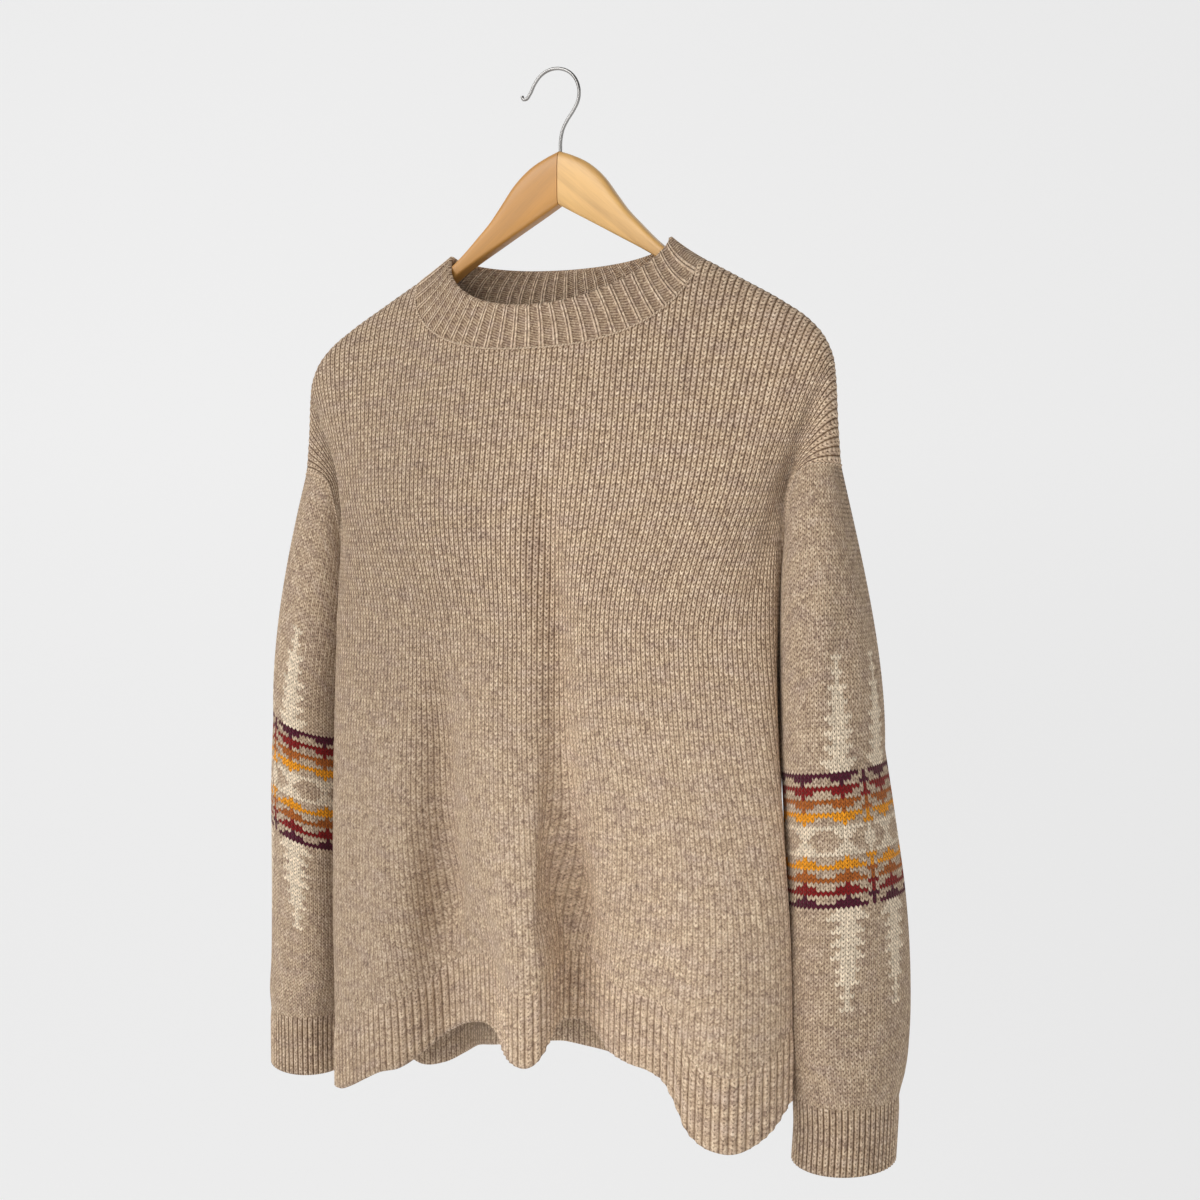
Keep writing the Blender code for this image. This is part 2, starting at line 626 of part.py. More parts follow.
def build_hook(steel, collection):
    """The wire hook: one bent wire from its curled tip to the foot in the wood."""
    route = np.array(HOOK)
    length = np.concatenate([[0.0], np.cumsum(np.linalg.norm(np.diff(route, axis=0), axis=1))])
    keyed = [(at, *point) for at, point in zip(length, route)]
    names = ("length", *HOOK_COLUMNS)
    at = np.linspace(0.0, length[-1], 46)
    x = smooth_read(keyed, names, "length", "x", at)
    z = smooth_read(keyed, names, "length", "z", at)
    curve = bpy.data.curves.new("hanger_hook", "CURVE")
    curve.dimensions = "3D"
    curve.bevel_depth = WIRE_RADIUS * MM
    curve.bevel_resolution = 2
    curve.use_fill_caps = True
    curve.render_resolution_u = 0
    spline = curve.splines.new("POLY")
    spline.points.add(len(at) - 1)
    for point, point_x, point_z in zip(spline.points, x, z):
        point.co = (point_x * MM, 0.0, point_z * MM, 1.0)
    spline.use_smooth = True
    obj = bpy.data.objects.new("hanger_hook", curve)
    curve.materials.append(steel)
    collection.objects.link(obj)
    return obj


def main():
    """Build the sweater and its hanger."""
    for obj in list(bpy.data.objects):
        bpy.data.objects.remove(obj)
    collection = bpy.data.collections.new("sweater_on_hanger")
    bpy.context.scene.collection.children.link(collection)
    cloth = make_material("oatmeal_knit", (0.43, 0.34, 0.26), 0.95)
    ribbing = make_material("oatmeal_rib", (0.45, 0.36, 0.27), 0.95)
    wood = make_material("honey_pine", (0.79, 0.52, 0.27), 0.45)
    steel = make_material("bright_wire", (0.72, 0.72, 0.72), 0.25, 1.0)
    walls = build_body(cloth, ribbing, collection)
    build_collar(walls, ribbing, collection)
    for side in (-1, 1):
        build_sleeve(side, walls, cloth, ribbing, collection)
        build_hanger_arm(side, wood, collection)
    build_hook(steel, collection)


main()
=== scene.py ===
"""Oatmeal jacquard sweater on a contoured wooden hanger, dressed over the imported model.

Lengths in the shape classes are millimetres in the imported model's frame: +Z up, +X to the
right of someone facing the front, the front faces -Y, and the origin is the bearing point
inside the top of the hanger's hook. Meshes are written in metres. Angles are degrees.
"""

import logging
import math
from dataclasses import dataclass
from enum import Enum

import bpy
import numpy as np
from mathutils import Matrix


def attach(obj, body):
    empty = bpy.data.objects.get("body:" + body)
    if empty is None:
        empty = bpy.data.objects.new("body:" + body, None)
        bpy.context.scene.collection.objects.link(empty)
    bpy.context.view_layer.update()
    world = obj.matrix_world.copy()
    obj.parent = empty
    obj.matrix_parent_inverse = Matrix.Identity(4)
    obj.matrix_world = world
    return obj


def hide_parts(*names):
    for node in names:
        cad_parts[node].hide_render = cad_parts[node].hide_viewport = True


LOG = logging.getLogger("sweater")
MM = 0.001
FINE = 1441  # points of a curve that is only measured along
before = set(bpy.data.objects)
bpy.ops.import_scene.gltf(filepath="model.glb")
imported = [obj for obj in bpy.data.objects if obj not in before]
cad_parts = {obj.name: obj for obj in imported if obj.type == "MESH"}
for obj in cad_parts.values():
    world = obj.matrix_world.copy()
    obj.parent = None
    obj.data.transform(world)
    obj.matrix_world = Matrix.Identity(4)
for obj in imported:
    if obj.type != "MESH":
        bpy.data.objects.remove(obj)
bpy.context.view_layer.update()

Array = np.ndarray
Pair = tuple[float, float]
Triple = tuple[float, float, float]
Colour = Triple
Material = bpy.types.Material
Object = bpy.types.Object
Socket = bpy.types.NodeSocket


class Side(Enum):
    """Which side of the garment a piece is on, with the sign of its X."""

    LEFT = -1
    RIGHT = 1

    @property
    def word(self) -> str:
        """The side's name in lower case."""
        return self.name.lower()

    def mirror(self, points: Array) -> Array:
        """Points or directions worked out for the right, put on this side."""
        return points * (self.value, 1.0, 1.0)


class Face(Enum):
    """Which panel of the body, with the sign of its Y."""

    FRONT = -1
    BACK = 1

    @property
    def word(self) -> str:
        """The panel's name in lower case."""
        return self.name.lower()

    def pick(self, pair: tuple) -> object:
        """The front's or the back's value of a pair."""
        return pair[0] if self is Face.FRONT else pair[1]


class Yarn(Enum):
    """Yarns of the sleeve's band, by their letter on the chart, as linear colours."""

    GROUND = (".", (0.0, 0.0, 0.0))
    PLUM = ("P", (0.088, 0.012, 0.030))
    MAROON = ("M", (0.235, 0.012, 0.014))
    RUST = ("R", (0.430, 0.125, 0.026))
    GOLD = ("G", (0.900, 0.350, 0.020))
    CREAM = ("C", (0.900, 0.750, 0.570))

    @property
    def letter(self) -> str:
        """The yarn's letter on the chart."""
        return self.value[0]

    @property
    def rgba(self) -> tuple[float, ...]:
        """The yarn's linear colour, with no alpha for the ground."""
        return (*self.value[1], 0.0 if self is Yarn.GROUND else 1.0)


# ---- small tools -----------------------------------------------------------------------
def unit(vectors: Array) -> Array:
    """Return vectors scaled to length one."""
    return vectors / np.maximum(np.linalg.norm(vectors, axis=-1, keepdims=True), 1e-9)


def smooth_step(value: Array) -> Array:
    """Ease from 0 to 1."""
    value = np.clip(value, 0.0, 1.0)
    return value * value * (3.0 - 2.0 * value)


def fade_ends(count: int, first: float, last: float) -> Array:
    """Factors for rows, 0 at both ends, full after so many rows from the first and last."""
    row = np.arange(count)[:, None]
    return smooth_step(row / first) * smooth_step((count - 1 - row) / last)


def hermite(start: Array, end: Array, leave: Array, arrive: Array, at: Array) -> Array:
    """Cubic curves between points.

    Args:
        start: Where they start.
        end: Where they end.
        leave: Their directions at the start.
        arrive: Their directions at the end.
        at: Share of the way along.

    Returns:
        The points there.
    """
    return (start * (1 + 2 * at) * (1 - at) ** 2 + leave * at * (1 - at) ** 2
            + end * at ** 2 * (3 - 2 * at) + arrive * at ** 2 * (at - 1))


def travelled(points: Array) -> Array:
    """Distance along lines of points that run down the first axis."""
    steps = np.linalg.norm(np.diff(points, axis=0), axis=-1)
    return np.concatenate([np.zeros((1, *steps.shape[1:])), np.cumsum(steps, axis=0)])


def grid_normals(points: Array, closed: bool = False) -> Array:
    """Directions across a grid whose rows run down and columns run rightward.

    Args:
        points: Grid of points, rows by columns by 3.
        closed: Whether the last column joins the first.

    Returns:
        One unit vector for each point.
    """
    down = np.gradient(points, axis=0)
    right = (np.roll(points, -1, axis=1) - np.roll(points, 1, axis=1) if closed
             else np.gradient(points, axis=1))
    return unit(np.cross(down, right))


def smooth_round(values: Array, reach: int) -> Array:
    """Unit vectors averaged with so many neighbours on each side round a closed loop."""
    return unit(sum(np.roll(values, step, axis=0) for step in range(-reach, reach + 1)))


def stitch_map(wales: Array, courses: Array) -> Array:
    """Stitch coordinates of a grid from its wales across and courses up."""
    return np.stack(np.broadcast_arrays(wales, courses), axis=-1)


def show(name: str, data: bpy.types.ID) -> Object:
    """Put a mesh, curve, light or camera in the scene under a name.

    Args:
        name: The object's name.
        data: Its mesh, curve, light or camera.

    Returns:
        The object.
    """
    obj = bpy.data.objects.new(name, data)
    bpy.context.scene.collection.objects.link(obj)
    return obj


def plain_mesh(obj: Object) -> bpy.types.Mesh:
    """The mesh that an object gives once its modifiers and bevels are worked out."""
    graph = bpy.context.evaluated_depsgraph_get()
    return bpy.data.meshes.new_from_object(obj.evaluated_get(graph),
                                           preserve_all_data_layers=True, depsgraph=graph)


@dataclass(frozen=True)
class Table:
    """Rows of sizes under named columns, read along smooth curves by the first column."""

    columns: tuple[str, ...]
    rows: tuple[tuple[float, ...], ...]

    def read(self, name: str, at: Array | float) -> Array:
        """Read one column at the given keys.

        Args:
            name: Column to read.
            at: Keys, in the unit of the first column.

        Returns:
            The column's values there, with the shape of the keys.
        """
        data = np.array(sorted(self.rows), dtype=float)
        keys, values = data[:, 0], data[:, self.columns.index(name)]
        slopes = np.gradient(values, keys)
        at = np.clip(np.asarray(at, dtype=float), keys[0], keys[-1])
        row = np.clip(np.searchsorted(keys, at, side="right") - 1, 0, len(keys) - 2)
        span = keys[row + 1] - keys[row]
        return hermite(values[row], values[row + 1], slopes[row] * span,
                       slopes[row + 1] * span, (at - keys[row]) / span)

    def sizes(self, at: Array | float) -> dict[str, Array]:
        """All columns but the first at the given keys, by name."""
        return {name: self.read(name, at) for name in self.columns[1:]}


@dataclass(frozen=True)
class Crease:
    """A soft crease along a straight or bowed line, in a piece's own two coordinates.

    Attributes:
        start: Where it begins.
        end: Where it ends.
        width: Half width across it.
        depth: Height of its ridge in millimetres; a trough is negative.
        bow: Sideways bow at its middle.
        eased: Share of its length over which it fades at each end.
    """

    start: Pair
    end: Pair
    width: float
    depth: float
    bow: float = 0.0
    eased: float = 0.3

    def height(self, first: Array, second: Array) -> Array:
        """Height of the crease over points given by the piece's two coordinates.

        Args:
            first: First coordinate of the points.
            second: Second coordinate of the points.

        Returns:
            Height in millimetres at each point.
        """
        run = (self.end[0] - self.start[0], self.end[1] - self.start[1])
        length = math.hypot(*run)
        first, second = first - self.start[0], second - self.start[1]
        along = (first * run[0] + second * run[1]) / length ** 2
        held = np.clip(along, 0, 1)
        aside = (first * run[1] - second * run[0]) / length - self.bow * 4 * held * (1 - held)
        fade = smooth_step(along / self.eased) * smooth_step((1 - along) / self.eased)
        return self.depth * fade * np.exp(-(aside / self.width) ** 2)


# ---- node trees ------------------------------------------------------------------------
class NodeSheet:
    """A node tree under construction, shader or geometry, with short ways to add to it."""

    def __init__(self, tree: bpy.types.NodeTree) -> None:
        """Start on an emptied tree."""
        self.tree = tree
        tree.nodes.clear()

    def add(self, kind: str, inputs: dict[str | int, object] | None = None,
            **settings: object) -> bpy.types.Node:
        """Add a node.

        Args:
            kind: Blender's name for the kind of node.
            inputs: Constants or other nodes' outputs, by the input's name or number.
            **settings: The node's properties.

        Returns:
            The node.
        """
        node = self.tree.nodes.new(kind)
        for name, value in settings.items():
            setattr(node, name, value)
        for name, value in (inputs or {}).items():
            if isinstance(value, Socket):
                self.tree.links.new(value, node.inputs[name])
            else:
                node.inputs[name].default_value = value
        return node

    def math(self, operation: str, *values: object, clamp: bool = False) -> Socket:
        """A Math node's result, held between 0 and 1 if clamped."""
        return self.add("ShaderNodeMath", dict(enumerate(values)), operation=operation,
                        use_clamp=clamp).outputs[0]

    def line(self, value: object, slope: object, base: object, clamp: bool = False) -> Socket:
        """A value times a slope, plus a base."""
        return self.math("MULTIPLY_ADD", value, slope, base, clamp=clamp)

    def times(self, first: object, second: object) -> Socket:
        """One value times another."""
        return self.math("MULTIPLY", first, second)

    def gap(self, first: object, second: object) -> Socket:
        """Distance between two values."""
        return self.math("ABSOLUTE", self.math("SUBTRACT", first, second))

    def combine(self, x: object, y: object, z: object = 0.0) -> Socket:
        """Make a vector from three values."""
        return self.add("ShaderNodeCombineXYZ", {0: x, 1: y, 2: z}).outputs[0]

    def split(self, vector: Socket) -> list[Socket]:
        """The three parts of a vector."""
        return self.add("ShaderNodeSeparateXYZ", {0: vector}).outputs[:]

    def scaled(self, vector: Socket, factor: Socket) -> Socket:
        """A vector times a factor."""
        return self.add("ShaderNodeVectorMath", {0: vector, "Scale": factor},
                        operation="SCALE").outputs[0]

    def noise(self, vector: Socket, scale: float, detail: float = 2.0) -> Socket:
        """The factor of a three-dimensional noise."""
        return self.add("ShaderNodeTexNoise", {"Vector": vector, "Scale": scale,
                                               "Detail": detail}).outputs["Fac"]

    def ease(self, value: Socket, start: float, end: float) -> Socket:
        """Ease from 0 at one value to 1 at another."""
        return self.add("ShaderNodeMapRange", {"Value": value, "From Min": start,
                                               "From Max": end},
                        interpolation_type="SMOOTHSTEP").outputs["Result"]

    def mix(self, factor: object, first: object, second: object, blend: str = "MIX") -> Socket:
        """Two colours mixed."""
        return self.add("ShaderNodeMix", {"Factor": factor, 6: first, 7: second},
                        data_type="RGBA", blend_type=blend).outputs[2]


class MaterialSheet(NodeSheet):
    """The nodes of a new material."""

    def __init__(self, name: str) -> None:
        """Start a material under a name.

        Args:
            name: The material's name.
        """
        self.material = bpy.data.materials.new(name)
        self.material.use_nodes = True
        super().__init__(self.material.node_tree)

    def place(self) -> Socket:
        """The point's own place on the piece, in metres."""
        return self.add("ShaderNodeTexCoord").outputs["Object"]

    def turned(self, vector: Socket, **settings: tuple) -> Socket:
        """A vector turned or scaled by a Mapping node's named inputs."""
        return self.add("ShaderNodeMapping", {"Vector": vector, **settings}).outputs[0]

    def bump(self, height: Socket, strength: float, depth: float) -> Socket:
        """The bent normal of a bump of a depth in metres."""
        return self.add("ShaderNodeBump", {"Strength": strength, "Distance": depth,
                                           "Height": height}).outputs[0]

    def finished(self, inputs: dict[str, object]) -> Material:
        """Close the material with a shader that has these inputs.

        Args:
            inputs: Constants or outputs, by the shader's input.

        Returns:
            The material.
        """
        shader = self.add("ShaderNodeBsdfPrincipled", inputs)
        self.add("ShaderNodeOutputMaterial", {"Surface": shader.outputs[0]})
        return self.material


class TreeSheet(NodeSheet):
    """The nodes of a new geometry tree with named inputs, which ends in one material."""

    def __init__(self, name: str, sizes: dict[str, str]) -> None:
        """Start a tree.

        Args:
            name: The tree's name.
            sizes: Kinds of its own inputs, by name.
        """
        super().__init__(bpy.data.node_groups.new(name, "GeometryNodeTree"))
        inputs = {"Geometry": "Geometry", **sizes, "Finish": "Material"}
        for label, kind in inputs.items():
            self.tree.interface.new_socket(label, in_out="INPUT",
                                           socket_type="NodeSocket" + kind)
        self.tree.interface.new_socket("Geometry", in_out="OUTPUT",
                                       socket_type="NodeSocketGeometry")
        self.entry = self.add("NodeGroupInput").outputs

    def attribute(self, name: str, kind: str) -> Socket:
        """A named attribute of the points."""
        return self.add("GeometryNodeInputNamedAttribute", {"Name": name},
                        data_type=kind).outputs["Attribute"]

    def finished(self, geometry: Socket, smooth: bool = False) -> bpy.types.NodeTree:
        """Close the tree: real geometry in one material, smooth if asked.

        Args:
            geometry: What the tree has made.
            smooth: Whether to shade it smooth.

        Returns:
            The tree.
        """
        whole = self.add("GeometryNodeRealizeInstances", {0: geometry}).outputs[0]
        if smooth:
            whole = self.add("GeometryNodeSetShadeSmooth", {0: whole}).outputs[0]
        dressed = self.add("GeometryNodeSetMaterial", {"Geometry": whole,
                                                       "Material": self.entry["Finish"]})
        self.add("NodeGroupOutput", {"Geometry": dressed.outputs[0]})
        return self.tree


def run_tree(obj: Object, tree: bpy.types.NodeTree, sizes: dict[str, object]) -> None:
    """Evaluate a geometry tree on an object and keep the result as a plain mesh.

    Args:
        obj: Object whose mesh goes in, and is replaced.
        tree: The geometry node tree.
        sizes: Values for its named inputs.
    """
    modifier = obj.modifiers.new("build", "NODES")
    modifier.node_group = tree
    for item in tree.interface.items_tree:
        if item.in_out == "INPUT" and item.name in sizes:
            modifier[item.identifier] = sizes[item.name]
    old, mesh = obj.data, plain_mesh(obj)
    obj.modifiers.remove(modifier)
    obj.data = mesh
    mesh.name = obj.name
    bpy.data.meshes.remove(old)


# ---- finishes --------------------------------------------------------------------------
@dataclass(frozen=True)
class WoolFinish:
    """Melange wool in stocking stitch or rib, in the piece's own stitch coordinates.

    The UV map "stitch" counts wales across and courses up. The colour attribute "yarn" holds
    the chart's colours, with 0 in its alpha where the ground yarn is knitted.

    Attributes:
        name: The material's name.
        dark: Colour of the darkest fibres.
        middle: Colour of most of the yarn.
        light: Colour of the lightest fibres.
        groove: Tint of the shade between the stitches.
        mauve: Tint of the cooler patches of the melange.
        tone: Factor on all its colours.
        painted_light: Painted light, how much paler the colour gets towards the lower right.
        worn: How much flatter the stitches look towards the hem.
        rib: Whether it is ribbed, four wales to a rib, or else stocking stitch.
        charted: Whether stitches take their colour from the chart.
        wale_line: Strength of the dark line between two wales.
        course_line: Strength of the shade between two courses.
        leg_slant: Courses that a stitch's leg climbs over one wale.
        rib_middle: Where the pair of knit wales has its middle, as a share of a rib.
        rib_half: Half the width of the pair, as a share of a rib.
        stitch_depth: Depth of a stitch in metres.
    """

    name: str
    dark: Colour = (0.300, 0.205, 0.145)
    middle: Colour = (0.590, 0.435, 0.300)
    light: Colour = (0.860, 0.690, 0.500)
    groove: Colour = (0.220, 0.160, 0.110)
    mauve: Colour = (0.90, 0.90, 1.02)
    tone: float = 1.0
    painted_light: float = 0.0
    worn: float = 0.4
    rib: bool = False
    charted: bool = False
    wale_line: float = 1.0
    course_line: float = 0.38
    leg_slant: float = 1.3
    rib_middle: float = 0.22
    rib_half: float = 0.215
    stitch_depth: float = 0.0011
    # stocking stitch: how sharply legs narrow between courses, the yarn falls off at a wale's
    # edge and the two legs part, then how far it falls and how deep the parting stays
    pinch_power: float = 3.0
    edge_power: float = 4.5
    part_sharp: float = 6.5
    edge_fall: float = 1.1
    part_floor: float = 0.12
    # rib: sharpness and depth of the line between two knit wales and of the pair's sides, then
    # level, swing and slant of the purl bumps
    notch: Pair = (16.0, 0.95)
    flank: Pair = (18.0, 0.4)
    purl: Triple = (0.48, 0.26, 1.6)
    # melange: how fine the fibres are, weights of leg, strand and fibre in the tone, and the
    # share of the cool patches
    fibre_scale: float = 620.0
    weights: Triple = (0.32, 0.8, 1.7)
    cool_share: float = 0.7
    # charted yarns: factors on the darkest and lightest fibres
    mottle: Pair = (0.60, 1.40)
    # painted light in metres: heights where the paler, lit lower right starts and is full, the
    # same for X, heights of the worn hem with its painted shade, and how much darker it gets
    painted_light_z: Pair = (-0.08, -0.38)
    painted_light_x: Pair = (-0.14, 0.07)
    worn_and_shaded_z: Pair = (-0.40, -0.64)
    painted_hem_shade: float = 0.14
    # bump: how much the fibres add to it, and its strength
    fuzz: float = 0.4
    bump: float = 0.9

    def plain_stitch(self, sheet: NodeSheet, wale: Socket, course: Socket) -> tuple:
        """Shape of stocking stitch.

        Args:
            sheet: The material's nodes.
            wale: Wales across.
            course: Courses up.

        Returns:
            Height of the yarn from 0 to 1, and the course along a slanting leg.
        """
        aside = sheet.gap(sheet.math("FRACT", wale), 0.5)
        slanted = sheet.math("SUBTRACT", course, sheet.times(aside, self.leg_slant))
        turn = sheet.line(sheet.math("FRACT", slanted), 2.0, -1.0)
        pinch = sheet.math("POWER", sheet.math("ABSOLUTE", turn), self.pinch_power)
        edge = sheet.math("POWER", sheet.times(aside, 2.0), self.edge_power)
        parting = sheet.times(sheet.line(aside, -self.part_sharp, 1.0, clamp=True),
                              sheet.line(pinch, 1.0, self.part_floor))
        top = sheet.line(edge, -self.edge_fall * self.wale_line, 1.0)
        height = sheet.math("SUBTRACT", top, parting)
        return sheet.line(pinch, -self.course_line, height, clamp=True), slanted

    def rib_stitch(self, sheet: NodeSheet, wale: Socket, course: Socket) -> tuple:
        """Shape of a rib: a pair of narrow knit wales, then purl bumps.

        Args:
            sheet: The material's nodes.
            wale: Wales across, four to a rib.
            course: Courses up.

        Returns:
            Height of the yarn from 0 to 1, and the course.
        """
        (notch_sharp, notch_fall), (flank_sharp, flank_fall) = self.notch, self.flank
        level, swing, slant = self.purl
        share = sheet.math("FRACT", sheet.times(wale, 0.25))
        aside = sheet.gap(share, self.rib_middle)
        notch = sheet.line(aside, -notch_sharp, 1.0, clamp=True)
        flank = sheet.line(sheet.gap(aside, self.rib_half), -flank_sharp, 1.0, clamp=True)
        knit = sheet.line(notch, -notch_fall, 1.0)
        stroke = sheet.math("SINE", sheet.times(sheet.line(share, slant, course), 2 * math.pi))
        purl = sheet.line(stroke, swing, level)
        is_purl = sheet.math("GREATER_THAN", aside, self.rib_half)
        is_knit = sheet.math("SUBTRACT", 1.0, is_purl)
        height = sheet.line(purl, is_purl, sheet.times(knit, is_knit))
        return sheet.line(flank, -flank_fall, height, clamp=True), course

    def melange(self, sheet: MaterialSheet, wale: Socket, slanted: Socket) -> tuple:
        """Colour of the mixed yarn.

        Args:
            sheet: The material's nodes.
            wale: Wales across.
            slanted: Courses up, along the stitches' legs.

        Returns:
            Colour, tone from 0 to 1, and the fine pattern of the fibres.
        """
        fibre = sheet.noise(sheet.place(), self.fibre_scale, 2.5)
        leg_weight, strand_weight, fibre_weight = self.weights
        leg = sheet.combine(sheet.math("FLOOR", sheet.times(wale, 2.0)),
                            sheet.math("FLOOR", slanted))
        single = sheet.add("ShaderNodeTexWhiteNoise", {"Vector": leg}, noise_dimensions="2D")
        strand, cast = (
            sheet.noise(sheet.combine(sheet.times(wale, wide), sheet.times(slanted, tall), z),
                        1.0, detail)
            for wide, tall, z, detail in ((0.62, 0.95, 0.3, 4.0), (0.16, 0.30, 7.1, 3.0)))
        tone = sheet.line(single.outputs["Value"], leg_weight, -leg_weight / 2)
        for pattern, weight in ((strand, strand_weight), (fibre, fibre_weight)):
            tone = sheet.line(sheet.math("SUBTRACT", pattern, 0.5), weight, tone)
        tone = sheet.math("ADD", tone, 0.5, clamp=True)
        ramp = sheet.add("ShaderNodeValToRGB", {0: tone})
        elements = ramp.color_ramp.elements
        elements[0].position, elements[0].color = 0.05, self.toned(self.dark)
        elements[1].position, elements[1].color = 0.95, self.toned(self.light)
        elements.new(0.5).color = self.toned(self.middle)
        warm = ramp.outputs[0]
        cool = sheet.mix(1.0, warm, (*self.mauve, 1.0), "MULTIPLY")
        patches = sheet.times(sheet.line(cast, 3.0, -1.25, clamp=True), self.cool_share)
        return sheet.mix(patches, warm, cool), tone, fibre

    def toned(self, colour: Colour) -> tuple[float, ...]:
        """A colour with the finish's tone, and full alpha."""
        return (*(self.tone * part for part in colour), 1.0)

    def build(self) -> Material:
        """Make the material.

        Returns:
            The material.
        """
        sheet = MaterialSheet(self.name)
        wale, course, _ = sheet.split(sheet.add("ShaderNodeUVMap", uv_map="stitch").outputs["UV"])
        shape = self.rib_stitch if self.rib else self.plain_stitch
        height, slanted = shape(sheet, wale, course)
        colour, tone, fibre = self.melange(sheet, wale, slanted)
        if self.charted:
            yarn = sheet.add("ShaderNodeAttribute", attribute_name="yarn").outputs
            mottled = sheet.mix(tone, *((part, part, part, 1.0) for part in self.mottle))
            vivid = sheet.mix(1.0, yarn["Color"], mottled, "MULTIPLY")
            colour = sheet.mix(yarn["Alpha"], colour, vivid)
        # Painted light: the colour gets paler towards the lower right, where more light falls
        if self.painted_light:
            x, _, z = sheet.split(sheet.place())
            low = sheet.ease(z, *self.worn_and_shaded_z)
            lit_share = sheet.times(sheet.ease(z, *self.painted_light_z), sheet.ease(x, *self.painted_light_x))
            # paler holds painted light towards the lower right and painted shade darkening the hem
            paler = sheet.line(low, -self.painted_hem_shade, sheet.line(lit_share, self.painted_light, 1.0))
            colour = sheet.mix(1.0, colour, sheet.combine(paler, paler, paler), "MULTIPLY")
            height = sheet.line(low, sheet.line(height, -self.worn, self.worn), height)
        shade = sheet.mix(height, (*self.groove, 1.0), (1.0, 1.0, 1.0, 1.0))
        relief = sheet.line(fibre, self.fuzz, height)
        return sheet.finished({
            "Base Color": sheet.mix(1.0, colour, shade, "MULTIPLY"),
            "Normal": sheet.bump(relief, self.bump, self.stitch_depth),
            "Roughness": 0.95, "Specular IOR Level": 0.08, "Sheen Weight": 0.22,
            "Sheen Roughness": 0.5, "Sheen Tint": (0.95, 0.80, 0.64, 1.0)})


@dataclass(frozen=True)
class WoodFinish:
    """Clear-varnished pine with its grain along the arm.

    Attributes:
        name: The material's name.
        slope: Angle of the arm's grain from level, about Y.
        pale: Colour of the early wood.
        deep: Colour of the grain lines.
        bands: How often the grain repeats along and across the arm.
        pores: The same for the fine pores.
        grain: Slope and base of the grain's strength.
        cloud: How much broad patches vary it.
    """

    name: str
    slope: float
    pale: Colour = (0.800, 0.475, 0.165)
    deep: Colour = (0.520, 0.285, 0.095)
    bands: Pair = (3.0, 60.0)
    pores: Pair = (30.0, 900.0)
    grain: Pair = (2.6, -1.0)
    cloud: float = 0.6

    def build(self) -> Material:
        """Make the material.

        Returns:
            The material.
        """
        sheet = MaterialSheet(self.name)
        along = sheet.turned(sheet.place(), Rotation=(0.0, math.radians(self.slope), 0.0))
        (run, cut), (fine_run, fine_cut) = self.bands, self.pores
        bands = sheet.noise(sheet.turned(along, Scale=(run, cut, cut)), 2.2, 3.0)
        pores = sheet.noise(sheet.turned(along, Scale=(fine_run, fine_cut, fine_cut)), 1.0)
        cloud = sheet.noise(along, 18.0)
        grain = sheet.line(bands, 0.75, sheet.times(pores, 0.25))
        grain = sheet.math("ADD", sheet.line(grain, *self.grain),
                           sheet.line(cloud, self.cloud, -self.cloud / 2), clamp=True)
        return sheet.finished({
            "Base Color": sheet.mix(grain, (*self.pale, 1.0), (*self.deep, 1.0)),
            "Normal": sheet.bump(pores, 0.15, 0.0003),
            "Roughness": 0.42, "Coat Weight": 0.25, "Coat Roughness": 0.3})


@dataclass(frozen=True)
class WireFinish:
    """Bright plated steel wire."""

    name: str = "bright_wire"
    colour: Colour = (0.33, 0.32, 0.31)

    def build(self) -> Material:
        """Make the material.

        Returns:
            The material.
        """
        sheet = MaterialSheet(self.name)
        rough = sheet.line(sheet.noise(sheet.place(), 400.0), 0.16, 0.2)
        return sheet.finished({"Base Color": (*self.colour, 1.0), "Metallic": 1.0,
                               "Roughness": rough})


@dataclass(frozen=True)
class YarnFinish:
    """Twisted yarn of the sewn seams."""

    name: str = "seam_yarn"
    dark: Colour = (0.396, 0.306, 0.222)
    light: Colour = (0.825, 0.6375, 0.4625)

    def build(self) -> Material:
        """Make the material.

        Returns:
            The material.
        """
        sheet = MaterialSheet(self.name)
        tone = sheet.line(sheet.noise(sheet.place(), 700.0, 3.0), 1.4, -0.2, clamp=True)
        return sheet.finished({
            "Base Color": sheet.mix(tone, (*self.dark, 1.0), (*self.light, 1.0)),
            "Roughness": 0.95, "Specular IOR Level": 0.08})


# ---- what repeats: raised wales and ribs, sewn stitches ----------------------------------
class Profile(Enum):
    """Cross-section of the raised columns of a knit."""

    WALE = "one round ridge for each wale"
    RIB = "a pair of raised knit wales, then a flat purl groove"


